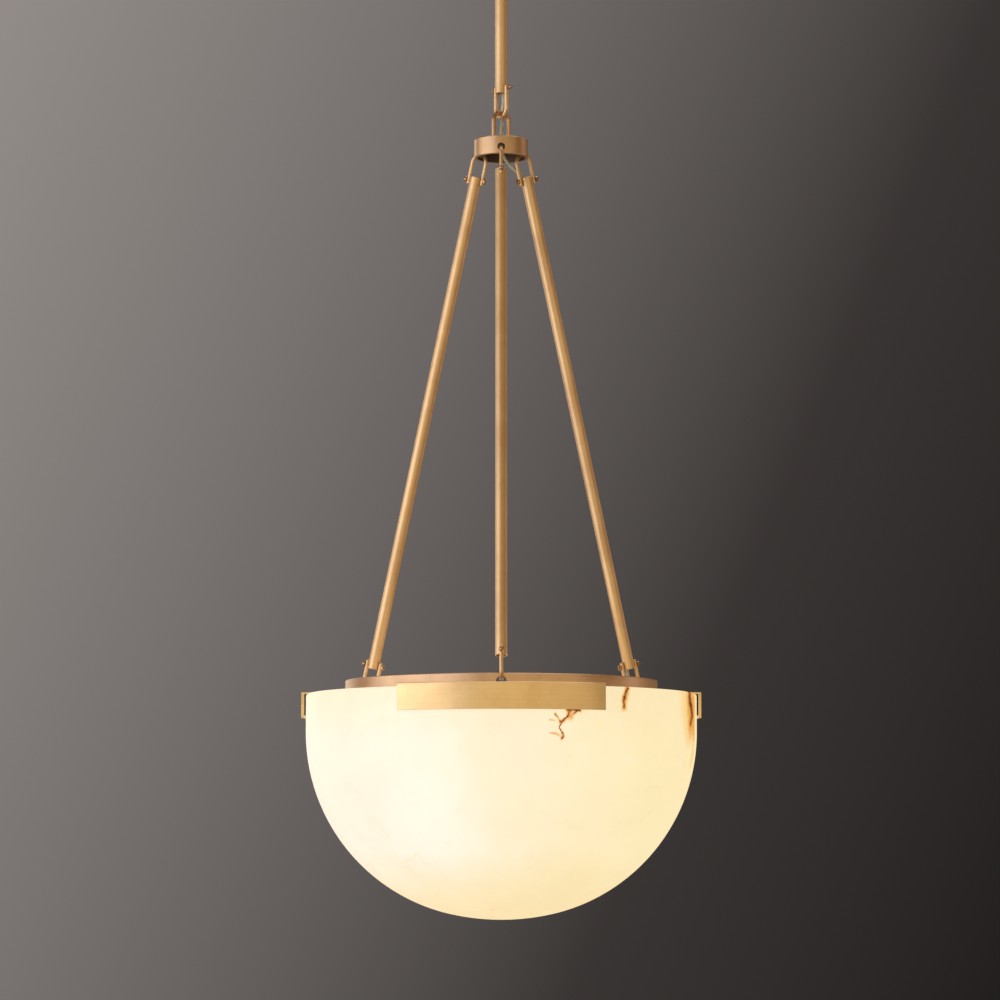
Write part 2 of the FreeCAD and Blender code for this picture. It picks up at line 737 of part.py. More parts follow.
def bracket_screw(angle):
    """A screw from inside: through the spider's tab and the ring, into the bracket's tab."""
    head_r = ring_r - RING_WALL - SEAT_GAP - SPIDER_THICKNESS - SEAT_GAP
    tip_r = ring_r + SEAT_GAP + TAB_THICKNESS
    shank = level_rod(angle, head_r, tip_r, bracket_screw_z, BRACKET_SCREW_DIAMETER / 2)
    head_start = head_r - BRACKET_HEAD_HEIGHT
    head = level_rod(angle, head_start, head_r, bracket_screw_z, BRACKET_HEAD_DIAMETER / 2)
    return head.fuse(shank).removeSplitter()


def bracket_pad(angle):
    """Rubber between the bracket and the bowl: down the outside and over the rim."""
    inner = bowl_r + SEAT_GAP
    outer = apron_inner_r - SEAT_GAP
    low = flange_low_z - PAD_HEIGHT
    side = sector(inner, outer, low, flange_low_z, angle, PAD_HALF_ANGLE)
    flange_inner = apron_inner_r + APRON_THICKNESS - FLANGE_REACH
    top = sector(flange_inner, inner, rim_z, flange_low_z, angle, PAD_HALF_ANGLE)
    pad = side.fuse(top).removeSplitter()
    hole_r = STUD_DIAMETER / 2 + SLIDING_GAP
    for turn in (-1, 1):
        place = angle + turn * STUD_ANGLE
        pad = pad.cut(level_rod(place, bowl_inner_r, outer + PAD_THICKNESS, stud_z, hole_r))
    return pad


def bowl_outline(radius, depth):
    """Half outline from the rim to the pole: upright collar, side arc, and a base arc of
    BOWL_BASE_ANGLE to each side of the pole."""
    lean = math.radians(BOWL_BASE_ANGLE) - math.pi / 2
    drop = depth - BOWL_COLLAR
    slope = (1 + math.sin(lean)) / math.cos(lean)
    side_radius = (drop - radius * slope) / (1 - slope)
    base_radius = side_radius + (radius - side_radius) / math.cos(lean)
    side_centre = (radius - side_radius, -BOWL_COLLAR)
    base_centre = (0, base_radius - depth)
    via = arc_point(side_centre, side_radius, lean / 2)
    meet = arc_point(side_centre, side_radius, lean)
    base_via = arc_point(base_centre, base_radius, (lean - math.pi / 2) / 2)
    return via, meet, base_via


def arc_point(centre, radius, angle):
    return (centre[0] + radius * math.cos(angle), centre[1] + radius * math.sin(angle))


def alabaster_bowl():
    inner_depth = BOWL_DEPTH - BOWL_WALL
    via, meet, base = bowl_outline(bowl_r, BOWL_DEPTH)
    in_via, in_meet, in_base = bowl_outline(bowl_inner_r, inner_depth)
    path = [
        (bowl_r - BOWL_EDGE, 0),
        (bowl_r, -BOWL_EDGE),
        (bowl_r, -BOWL_COLLAR),
        via + meet,
        base + (0, -BOWL_DEPTH),
        (0, -inner_depth),
        in_base + in_meet,
        in_via + (bowl_inner_r, -BOWL_COLLAR),
        (bowl_inner_r, -BOWL_EDGE),
        (bowl_inner_r + BOWL_EDGE, 0),
    ]
    bowl = lathe(path)
    bowl.translate(up * rim_z)
    start = bowl_inner_r - BOWL_WALL
    end = bowl_r + BOWL_WALL
    for angle in stud_places():
        bowl = bowl.cut(level_rod(angle, start, end, stud_z, bush_r + RUNNING_GAP))
    return bowl


def bowl_stud(angle):
    start = apron_inner_r - SEAT_GAP
    return level_rod(angle, start - STUD_LENGTH, start, stud_z, STUD_DIAMETER / 2)


def bowl_bush(angle):
    flange = level_rod(angle, bush_face_r - BUSH_FLANGE_THICKNESS, bush_face_r, stud_z, BUSH_FLANGE / 2)
    sleeve = level_rod(angle, bush_face_r, bowl_r, stud_z, bush_r)
    bore_r = STUD_DIAMETER / 2 + RUNNING_GAP
    bore = level_rod(angle, bush_face_r - BUSH_FLANGE, bowl_r + BUSH_FLANGE, stud_z, bore_r)
    return flange.fuse(sleeve).removeSplitter().cut(bore)


def bowl_nut(angle):
    """A flanged nut, its flange against the bush."""
    flange_length = BOWL_NUT_FLANGE_THICKNESS
    nut = hexagon(BOWL_NUT_FLATS, BOWL_NUT_HEIGHT, 0)
    nut = nut.fuse(Part.makeCylinder(BOWL_NUT_FLANGE / 2, flange_length)).removeSplitter()
    nut = nut.cut(Part.makeCylinder(STUD_DIAMETER / 2 + RUNNING_GAP, BOWL_NUT_HEIGHT))
    face_r = bush_face_r - BUSH_FLANGE_THICKNESS - SEAT_GAP
    return aimed(nut, radial(angle, face_r) + up * stud_z, radial(angle) * -1)


# ---------------------------------------------------------------- lamp inside
def lamp_spider():
    tab_outer = ring_r - RING_WALL - SEAT_GAP
    tab_inner = tab_outer - SPIDER_THICKNESS
    foot_inner = tab_outer - SPIDER_FOOT_DEPTH
    leg_length = foot_inner + SPIDER_FOOT_DEPTH / 2
    leg_corner = Vector(0, -SPIDER_LEG_WIDTH / 2, spider_low_z)
    disc = Part.makeCylinder(SPIDER_DISC / 2, SPIDER_THICKNESS, up * spider_low_z)
    pieces = []
    for angle in ARM_ANGLES.values():
        leg = Part.makeBox(leg_length, SPIDER_LEG_WIDTH, SPIDER_THICKNESS, leg_corner)
        leg.rotate(Vector(), up, angle)
        foot = sector(foot_inner, tab_outer, spider_low_z, ring_bottom_z, angle, SPIDER_TAB_HALF_ANGLE)
        tab_top = spider_low_z + SPIDER_TAB_HEIGHT
        tab = sector(tab_inner, tab_outer, spider_low_z, tab_top, angle, SPIDER_TAB_HALF_ANGLE)
        pieces += [leg, foot, tab]
    spider = disc.fuse(pieces).removeSplitter()
    for angle in bracket_screw_places():
        spider = spider.cut(level_rod(angle, foot_inner, ring_r, bracket_screw_z, bracket_screw_hole))
    rod_hole_r = CLUSTER_ROD / 2 + RUNNING_GAP
    spider = spider.cut(Part.makeCylinder(rod_hole_r, SPIDER_THICKNESS, up * spider_low_z))
    cable_place = radial(ARM_ANGLES[CABLE_ARM], SPIDER_CABLE_RADIUS) + up * spider_low_z
    return spider.cut(Part.makeCylinder(SPIDER_CABLE_HOLE / 2, SPIDER_THICKNESS, cable_place))


def holder_angles():
    return [HOLDER_FIRST_ANGLE + 360.0 / HOLDER_COUNT * index for index in range(HOLDER_COUNT)]


def holder_direction(angle):
    return radial(angle, math.cos(droop)) - up * math.sin(droop)


def on_holder(shape, angle, distance):
    """Place a shape drawn along Z on a lampholder's axis, this far from the lamp's axis."""
    direction = holder_direction(angle)
    return aimed(shape, up * holder_axis_z + direction * distance, direction)


def cluster_body():
    outer = CLUSTER_DIAMETER / 2
    inner = outer - CLUSTER_WALL
    hole = CLUSTER_ROD / 2 + RUNNING_GAP
    floor = cluster_low_z + CLUSTER_WALL
    path = [
        (hole, cluster_low_z),
        (outer - 2 * EDGE_BREAK, cluster_low_z),
        (outer, cluster_low_z + 2 * EDGE_BREAK),
        (outer, cluster_top_z),
        (inner, cluster_top_z),
        (inner, floor),
        (hole, floor),
    ]
    body = lathe(path)
    for angle in holder_angles():
        stub = Part.makeCylinder(HOLDER_STUB / 2 + RUNNING_GAP, outer)
        body = body.cut(on_holder(stub, angle, outer / 2))
    return body


def cluster_rod():
    low = cluster_low_z - CLUSTER_NUT_HEIGHT
    high = ring_bottom_z + CLUSTER_NUT_HEIGHT + CLUSTER_ROD_ABOVE
    return rod_between(up * low, up * high, CLUSTER_ROD / 2)


def cluster_nuts():
    bore = CLUSTER_ROD / 2 + RUNNING_GAP
    top = hexagon(CLUSTER_NUT_FLATS, CLUSTER_NUT_HEIGHT, ring_bottom_z, bore)
    face = up * (cluster_low_z - SEAT_GAP)
    radius = CLUSTER_CAP_NUT / 2
    cap = capped_rod(face, face - up * CLUSTER_CAP_SKIRT, radius).removeSplitter()
    depth = CLUSTER_NUT_HEIGHT + SLIDING_GAP
    return [top, cap.cut(rod_between(face - up * depth, face, bore))]


def cluster_connector():
    width, length, height = CONNECTOR_SIZE
    box = Part.makeBox(width, length, height, Vector(-width / 2, -length / 2, 0))
    box.rotate(Vector(), up, ARM_ANGLES[CABLE_ARM] + 90)
    box.translate(radial(ARM_ANGLES[CABLE_ARM], SPIDER_CABLE_RADIUS) + up * connector_low_z)
    return box


def lampholder(angle):
    outer = HOLDER_DIAMETER / 2
    bore = BULB_CAP_DIAMETER / 2 + SLIDING_GAP
    path = [
        (HOLDER_STUB_BORE / 2, -stub_length),
        (HOLDER_STUB / 2, -stub_length),
        (HOLDER_STUB / 2, 0),
        (outer - 2 * EDGE_BREAK, 0),
        (outer, 2 * EDGE_BREAK),
        (outer, HOLDER_LENGTH - 2 * EDGE_BREAK),
        (outer - 2 * EDGE_BREAK, HOLDER_LENGTH),
        (bore, HOLDER_LENGTH),
        (bore, HOLDER_BACK),
        (HOLDER_STUB_BORE / 2, HOLDER_BACK),
    ]
    return on_holder(lathe(path), angle, holder_start)


def bulb_cap(angle):
    radius = BULB_CAP_DIAMETER / 2
    skirt = BULB_SKIRT_DIAMETER / 2
    path = [
        (0, -BULB_CAP_LENGTH),
        (radius - 2 * EDGE_BREAK, -BULB_CAP_LENGTH),
        (radius, -BULB_CAP_LENGTH + 2 * EDGE_BREAK),
        (radius, SLIDING_GAP),
        (skirt, BULB_SKIRT_LENGTH),
        (0, BULB_SKIRT_LENGTH),
    ]
    return on_holder(lathe(path), angle, bulb_seat)


def bulb_glass(angle):
    """A thin globe whose neck flares up from the cap's skirt."""
    globe = BULB_DIAMETER / 2
    skirt = BULB_SKIRT_DIAMETER / 2 - RUNNING_GAP
    base = BULB_SKIRT_LENGTH + SEAT_GAP
    inner = globe - BULB_GLASS
    neck = skirt - BULB_GLASS
    mouth_z = BULB_CENTRE - math.sqrt(globe ** 2 - skirt ** 2)
    inner_mouth_z = BULB_CENTRE - math.sqrt(inner ** 2 - neck ** 2)
    path = [
        (neck, base),
        (skirt, base),
        (skirt, mouth_z),
        (globe, BULB_CENTRE, 0, BULB_CENTRE + globe),
        (0, BULB_CENTRE + inner),
        (inner, BULB_CENTRE, neck, inner_mouth_z),
    ]
    return on_holder(lathe(path), angle, bulb_seat)


# ---------------------------------------------------------------- cable
def cable_stem():
    """From the terminal block over the nipple's top and down into the stem."""
    points = [
        Vector(terminal_x - BLOCK_ENTRY_DEPTH + SLIDING_GAP, 0, cable_exit_z),
        Vector(-6.7, 0, cable_exit_z),
        Vector(0, 0, cable_exit_z - 6.7),
        along * 0.4 + up * (cable_exit_z - 24),
        along * 1.5 + up * (cable_exit_z - 56),
        along * 2.9 + up * (cable_exit_z - 98),
        stem_handover + up * 21,
        stem_handover,
    ]
    return cable("cable_stem", points, cable_r)


def cable_shackle():
    """Out of the stem, between the shackle's legs, to the joint with the loop."""
    points = [
        stem_handover,
        along * beside_stem_pin + up * (stem_end_z - 2),
        link_crossing + up * 7,
        link_crossing,
    ]
    return cable("cable_shackle", points, cable_r)


def cable_loop():
    """Between the loop's legs and into the grommet."""
    points = [
        link_crossing,
        link_crossing - up * 7,
        grommet_top + up * 6,
        grommet_top - up * 4,
    ]
    return cable("cable_loop", points, cable_r)


def cable_hub():
    """From the grommet, beside the hook, into the top of one arm tube."""
    angle = ARM_ANGLES[CABLE_ARM]
    side = radial(angle + 90)
    points = [
        grommet_top - up * 4,
        grommet_top - up * 16,
        radial(angle, 17.5) + side * 4.9 + up * (upper_bend_z - 7.5),
        arm_point(angle, tube_top - 2.2, beside_arm_pin),
        arm_point(angle, tube_top + CABLE_IN_ARM, beside_arm_pin),
    ]
    return cable("cable_hub", points, cable_r)


def cable_arm():
    angle = ARM_ANGLES[CABLE_ARM]
    start = arm_point(angle, tube_top + CABLE_IN_ARM, beside_arm_pin)
    end = arm_point(angle, tube_end - CABLE_IN_ARM, beside_arm_pin)
    return rod_between(start, end, cable_r)


def cable_bowl():
    """From the arm tube's end, down inside the ring and along a spider leg, over a
    low hump and down through the spider's hole to the connector."""
    angle = ARM_ANGLES[CABLE_ARM]
    side = radial(angle + 90)
    on_leg = up * (ring_bottom_z + cable_r + SEAT_GAP)
    hole = radial(angle, SPIDER_CABLE_RADIUS)
    points = [
        arm_point(angle, tube_end - CABLE_IN_ARM, beside_arm_pin),
        arm_point(angle, tube_end + 10.5, beside_arm_pin),
        radial(angle, 149.6) + side * 5.2 + on_leg + up * 12.4,
        radial(angle, 134.3) + side * 4.6 + on_leg,
        radial(angle, 100) + side * 2.4 + on_leg,
        radial(angle, 62) + side * 1.0 + on_leg,
        radial(angle, 40) + side * 0.4 + on_leg + up * 4,
        radial(angle, 27) + on_leg + up * 9,
        hole + radial(angle, 6.5) + on_leg + up * 7.2,
        hole + on_leg - up * 0.3,
        hole + up * connector_top_z,
    ]
    return cable("cable_bowl", points, cable_r)


def lampholder_wire(angle):
    """From the connector's side into one lampholder's stub, past the rod if need be."""
    arm = ARM_ANGLES[CABLE_ARM]
    direction = holder_direction(angle)
    stub_end = up * holder_axis_z + direction * (holder_start - stub_length)
    turn = math.radians(angle - arm)
    middle_z = up * (connector_low_z + CONNECTOR_SIZE[2] / 2)
    if math.cos(turn) > 0:
        side = radial(arm + 90, math.copysign(1, math.sin(turn)))
        points = [
            radial(arm, 9.5) + side * (CONNECTOR_SIZE[0] / 2 + WIRE_CLEAR) + middle_z,
            radial(arm, 8.0) + side * 10.5 + middle_z + up * 2.4,
        ]
    else:
        side = radial(arm + 90)
        foot_r = SPIDER_CABLE_RADIUS - CONNECTOR_SIZE[1] / 2 - WIRE_CLEAR
        points = [
            radial(arm, foot_r) + side * 4.6 + middle_z,
            side * 5 + middle_z + up * 1.9,
            radial(arm, -9.5) + side * 2.2 + middle_z + up * 4.7,
        ]
    points.append(stub_end - direction * WIRE_BEFORE_STUB)
    points.append(stub_end + direction * WIRE_IN_STUB)
    return cable("lampholder_wire", points, WIRE_DIAMETER / 2)


# ---------------------------------------------------------------- write the parts
def save(name, shape):
    """Write one sub-part. A list becomes a group of separate solids."""
    if isinstance(shape, list):
        shape = Part.makeCompound(shape)
    solids = shape.Solids
    if not shape.isValid() or not solids:
        raise ValueError(f"{name} is not a valid solid")
    shape.exportStep(f"parts/{name}.step")
    print(f"{name}: {len(solids)} solid(s), {shape.Volume / 1000:.2f} cm3")


os.makedirs("parts", exist_ok=True)

save("ceiling_strap", ceiling_strap())
save("threaded_nipple", threaded_nipple())
save("nipple_nut", nipple_nut())
save("canopy_screws", [canopy_screw(side * CANOPY_SCREW_SPACING / 2) for side in (-1, 1)])
save("earth_screw", machine_screw(EARTH_SCREW_X, -STRAP_DROP - EARTH_SCREW_BELOW))
save("terminal_block", terminal_block())
save("canopy", canopy())
save("canopy_cap_nuts", [canopy_cap_nut(side * CANOPY_SCREW_SPACING / 2) for side in (-1, 1)])
save("stem", stem())
save("shackle", shackle())
save("shackle_pin", shackle_pin())
save("hub_cap", hub_cap())
save("hub_loop", hub_loop())
save("hub_loop_nuts", hub_loop_nuts())
save("hub_grommet", hub_grommet())
upper_pins = []
for arm, arm_angle in ARM_ANGLES.items():
    save(f"upper_hook_{arm}", upper_hook(arm_angle))
    save(f"arm_tube_{arm}", arm_tube(arm_angle))
    save(f"lower_hook_{arm}", lower_hook(arm_angle))
    save(f"lower_pin_{arm}", hook_pin(arm_angle, lower_pin_distance))
    save(f"rim_bracket_{arm}", rim_bracket(arm_angle))
    upper_pins += hook_pin(arm_angle, upper_pin_distance)
save("upper_pins", upper_pins)
save("support_ring", support_ring())
save("bracket_screws", [bracket_screw(angle) for angle in bracket_screw_places()])
save("bracket_pads", [bracket_pad(angle) for angle in ARM_ANGLES.values()])
save("alabaster_bowl", alabaster_bowl())
save("bowl_studs", [bowl_stud(angle) for angle in stud_places()])
save("bowl_bushes", [bowl_bush(angle) for angle in stud_places()])
save("bowl_nuts", [bowl_nut(angle) for angle in stud_places()])
save("lamp_spider", lamp_spider())
save("cluster_body", cluster_body())
save("cluster_rod", cluster_rod())
save("cluster_nuts", cluster_nuts())
save("cluster_connector", cluster_connector())
for number, holder_angle in enumerate(holder_angles(), start=1):
    save(f"lampholder_{number}", lampholder(holder_angle))
    save(f"bulb_cap_{number}", bulb_cap(holder_angle))
    save(f"bulb_glass_{number}", bulb_glass(holder_angle))
save("lampholder_wires", [lampholder_wire(angle) for angle in holder_angles()])
save("cable_stem", cable_stem())
save("cable_shackle", cable_shackle())
save("cable_loop", cable_loop())
save("cable_hub", cable_hub())
save("cable_arm", cable_arm())
save("cable_bowl", cable_bowl())
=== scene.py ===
import json
import math

import bpy
from mathutils import Matrix, Vector


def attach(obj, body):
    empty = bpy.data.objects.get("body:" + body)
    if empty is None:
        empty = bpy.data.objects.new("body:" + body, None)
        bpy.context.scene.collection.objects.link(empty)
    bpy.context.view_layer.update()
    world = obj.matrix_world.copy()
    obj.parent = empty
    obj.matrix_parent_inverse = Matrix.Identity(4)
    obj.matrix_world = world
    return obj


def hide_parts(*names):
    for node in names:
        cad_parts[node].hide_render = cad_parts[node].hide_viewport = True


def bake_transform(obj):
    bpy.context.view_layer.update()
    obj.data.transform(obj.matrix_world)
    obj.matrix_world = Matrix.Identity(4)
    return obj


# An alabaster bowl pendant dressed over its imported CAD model. Metres, +Z up, the origin
# at the centre of the ceiling face. The front arm points along -Y, towards the camera.
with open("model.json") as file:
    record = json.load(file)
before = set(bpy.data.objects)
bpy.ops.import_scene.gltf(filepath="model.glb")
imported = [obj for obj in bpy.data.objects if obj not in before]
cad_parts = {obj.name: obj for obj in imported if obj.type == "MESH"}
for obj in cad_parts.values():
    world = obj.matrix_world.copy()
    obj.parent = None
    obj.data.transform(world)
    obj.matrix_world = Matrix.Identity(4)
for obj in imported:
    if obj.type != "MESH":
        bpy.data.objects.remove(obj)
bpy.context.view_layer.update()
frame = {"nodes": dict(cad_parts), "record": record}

ARMS = {"front": -90.0, "left": 150.0, "right": 30.0}
ARM_TILT = math.radians(13.746)
RIM_Z = -0.79872
BOWL_RADIUS = 0.2


# ---------------------------------------------------------------- camera
camera_data = bpy.data.cameras.new("view")
camera_data.lens = 134.85
camera_data.sensor_width = 36
camera_data.clip_end = 60
camera = bpy.data.objects.new("view", camera_data)
camera.location = (-0.00133, -3.8419, -0.9922)
camera.rotation_euler = (math.pi / 2 + 0.1023, 0, 0)
bpy.context.collection.objects.link(camera)
bpy.context.scene.camera = camera


# ---------------------------------------------------------------- shader helpers
class Graph:
    """A material and the nodes that lead to its one Principled shader."""

    def __init__(self, name, **fixed):
        self.material = bpy.data.materials.new(name)
        self.material.use_nodes = True
        self.tree = self.material.node_tree
        self.shader = self.tree.nodes["Principled BSDF"]
        self.place = self.add("TexCoord").outputs["Object"]
        for socket, value in fixed.items():
            self.set(socket.replace("_", " "), value)

    def add(self, kind, *values, **settings):
        made = self.tree.nodes.new("ShaderNode" + kind)
        for key, value in settings.items():
            setattr(made, key, value)
        for socket, value in zip(made.inputs, values):
            self.put(socket, value)
        return made

    def put(self, socket, value):
        if isinstance(value, bpy.types.NodeSocket):
            self.tree.links.new(value, socket)
        elif value is not None:
            socket.default_value = value

    def set(self, name, value):
        self.put(self.shader.inputs[name], value)

    def math(self, operation, *values):
        return self.add("Math", *values, operation=operation).outputs[0]

    def vector(self, operation, *values):
        made = self.add("VectorMath", *values, operation=operation)
        single = operation in ("LENGTH", "DOT_PRODUCT", "DISTANCE")
        return made.outputs["Value" if single else "Vector"]

    def ease(self, value, start, end, low=0.0, high=1.0):
        made = self.add("MapRange", value, start, end, low, high)
        made.interpolation_type = "SMOOTHSTEP"
        return made.outputs[0]

    def mix(self, share, first, second, blend="MIX"):
        return self.add("MixRGB", share, first, second, blend_type=blend).outputs[0]

    def scaled(self, vector, factors):
        return self.vector("MULTIPLY", vector, factors)

    def noise(self, vector, scale, detail=4.0, roughness=0.55, distortion=0.0):
        made = self.add("TexNoise", vector)
        made.inputs["Scale"].default_value = scale
        made.inputs["Detail"].default_value = detail
        made.inputs["Roughness"].default_value = roughness
        made.inputs["Distortion"].default_value = distortion
        return made.outputs[0]

    def noise_offset(self, vector, scale, amount):
        """The vector moved by a smooth random offset."""
        made = self.add("TexNoise", vector)
        made.inputs["Scale"].default_value = scale
        made.inputs["Detail"].default_value = 3.0
        centred = self.vector("SUBTRACT", made.outputs[1], (0.5, 0.5, 0.5))
        return self.vector("ADD", vector, self.scaled(centred, (amount,) * 3))

    def axis_place(self, direction):
        """The place turned so that this direction is its Z."""
        turn = Vector(direction).rotation_difference(Vector((0, 0, 1))).to_euler()
        made = self.add("Mapping", self.place)
        made.inputs["Rotation"].default_value = turn
        return made.outputs[0]

    def lathe_place(self, high, low):
        """Coordinates whose noise runs in rings about the lamp's axis."""
        split = self.add("SeparateXYZ", self.place)
        level = self.add("CombineXYZ", split.outputs[0], split.outputs[1], 0.0)
        radius = self.vector("LENGTH", level.outputs[0])
        rings = self.add(
            "CombineXYZ",
            self.math("MULTIPLY", radius, high),
            self.math("MULTIPLY", split.outputs[2], high),
            0.0,
        )
        slow = self.scaled(self.place, (low, low, 0.0))
        swapped = self.add("Mapping", slow)
        swapped.inputs["Rotation"].default_value = (math.pi / 2, 0, 0)
        return self.vector("ADD", rings.outputs[0], swapped.outputs[0])

    def edges(self, radius):
        """The rounded normal, and how much an edge within this radius bends it."""
        bevel = self.add("Bevel", radius, samples=6).outputs[0]
        normal = self.add("NewGeometry").outputs["Normal"]
        flat = self.vector("DOT_PRODUCT", bevel, normal)
        return bevel, self.ease(flat, 0.995, 0.8)

    def relief(self, height, strength, distance, normal=None):
        bump = self.add("Bump")
        bump.inputs["Strength"].default_value = strength
        bump.inputs["Distance"].default_value = distance
        self.put(bump.inputs["Height"], height)
        if normal is not None:
            self.put(bump.inputs["Normal"], normal)
        self.set("Normal", bump.outputs[0])


def rgb(red, green, blue):
    """A colour given as it looks on a screen, 0 to 255, as linear light."""
    parts = [part / 255 for part in (red, green, blue)]
    linear = [p / 12.92 if p < 0.04045 else ((p + 0.055) / 1.055) ** 2.4 for p in parts]
    return (*linear, 1.0)


# ---------------------------------------------------------------- metals
def brass(
    name,
    light,
    dark,
    brushed,
    rough=(0.46, 0.58),
    direction=None,
    painted_shade_inside=False,
    streaks=0.14,
):
    """Satin lacquered brass: fine brushing, cloudy patina, and edges rubbed brighter."""
    g = Graph(name, Metallic=1.0, Coat_Weight=1.0, Coat_IOR=1.9, Coat_Roughness=0.34)
    if brushed == "rings":
        along = g.lathe_place(1.0, 0.02)
    else:
        along = g.scaled(g.axis_place(direction or (0, 0, 1)), (1.0, 1.0, 0.012))
    fine = g.noise(along, 2600.0, 3.0, 0.6)
    broad = g.noise(along, 420.0, 2.0, 0.5)
    cloud = g.noise(g.place, 21.0, 5.0, 0.62, 0.4)
    fleck = g.noise(g.place, 240.0, 4.0, 0.6)
    bevel, edge = g.edges(0.0005)
    tone = g.ease(cloud, 0.38, 0.68)
    colour = g.mix(g.math("MULTIPLY", tone, 0.55), light, dark)
    streak = g.math("MULTIPLY", g.ease(broad, 0.42, 0.66), streaks)
    colour = g.mix(streak, colour, (0.36, 0.21, 0.09, 1))
    spots = g.math("MULTIPLY", g.ease(fleck, 0.62, 0.78), 0.30)
    colour = g.mix(spots, colour, (0.36, 0.19, 0.08, 1))
    worn = g.math("MULTIPLY", edge, 0.40)
    colour = g.mix(worn, colour, (0.95, 0.76, 0.50, 1))
    # painted shade: faces turned in towards the lamp's axis, as inside the hub and canopy, are
    # darkened almost to black
    if painted_shade_inside:
        level = g.scaled(g.place, (1.0, 1.0, 0.0))
        facing = g.vector("DOT_PRODUCT", g.add("NewGeometry").outputs["Normal"], level)
        colour = g.mix(g.ease(facing, 0.0, -0.004, 0.0, 0.85), colour, (0.045, 0.028, 0.02, 1))
    g.set("Base Color", colour)
    low, high = rough
    level = g.math("ADD", g.math("MULTIPLY", fine, 0.5), g.math("MULTIPLY", cloud, 0.5))
    g.set("Roughness", g.add("MapRange", level, 0.3, 0.7, low, high).outputs[0])
    height = g.math("ADD", fine, g.math("MULTIPLY", broad, 0.6))
    g.relief(height, 0.11 if brushed == "rings" else 0.04, 0.0003, bevel)
    return g.material


def plated_steel(name, tint, scale=95.0):
    """Zinc-plated steel: a faint crystal pattern under fine scratches."""
    g = Graph(name, Metallic=1.0)
    cells = g.add("TexVoronoi", g.noise_offset(g.place, 60.0, 0.004))
    cells.inputs["Scale"].default_value = scale
    grey = g.add("SeparateColor", cells.outputs["Color"]).outputs[0]
    scratch = g.noise(g.scaled(g.place, (0.05, 1.0, 1.0)), 900.0, 3.0, 0.6)
    bevel, edge = g.edges(0.0004)
    dark = tuple(part * 0.72 for part in tint[:3]) + (1.0,)
    colour = g.mix(g.math("MULTIPLY", grey, 0.55), tint, dark)
    colour = g.mix(g.math("MULTIPLY", edge, 0.5), colour, (0.86, 0.87, 0.86, 1))
    g.set("Base Color", colour)
    level = g.math("ADD", g.math("MULTIPLY", grey, 0.4), g.math("MULTIPLY", scratch, 0.6))
    g.set("Roughness", g.add("MapRange", level, 0.2, 0.8, 0.26, 0.5).outputs[0])
    g.relief(scratch, 0.12, 0.0002, bevel)
    return g.material


def painted(name, light, dark, rough, grain, depth):
    """A coated, moulded or glazed surface with a mottled tone and a fine texture."""
    g = Graph(name)
    cloud = g.noise(g.place, 38.0, 5.0, 0.6, 0.3)
    fine = g.noise(g.place, 320.0, 3.0, 0.6)
    bevel, edge = g.edges(0.0006)
    colour = g.mix(g.ease(cloud, 0.35, 0.7), light, dark)
    worn = tuple(min(1.0, part * 1.25) for part in light[:3]) + (1.0,)
    g.set("Base Color", g.mix(g.math("MULTIPLY", edge, 0.4), colour, worn))
    level = g.math("ADD", g.math("MULTIPLY", cloud, 0.6), g.math("MULTIPLY", fine, 0.4))
    g.set("Roughness", g.add("MapRange", level, 0.3, 0.7, rough, rough + grain).outputs[0])
    g.relief(fine, depth, 0.0003, bevel)
    return g.material


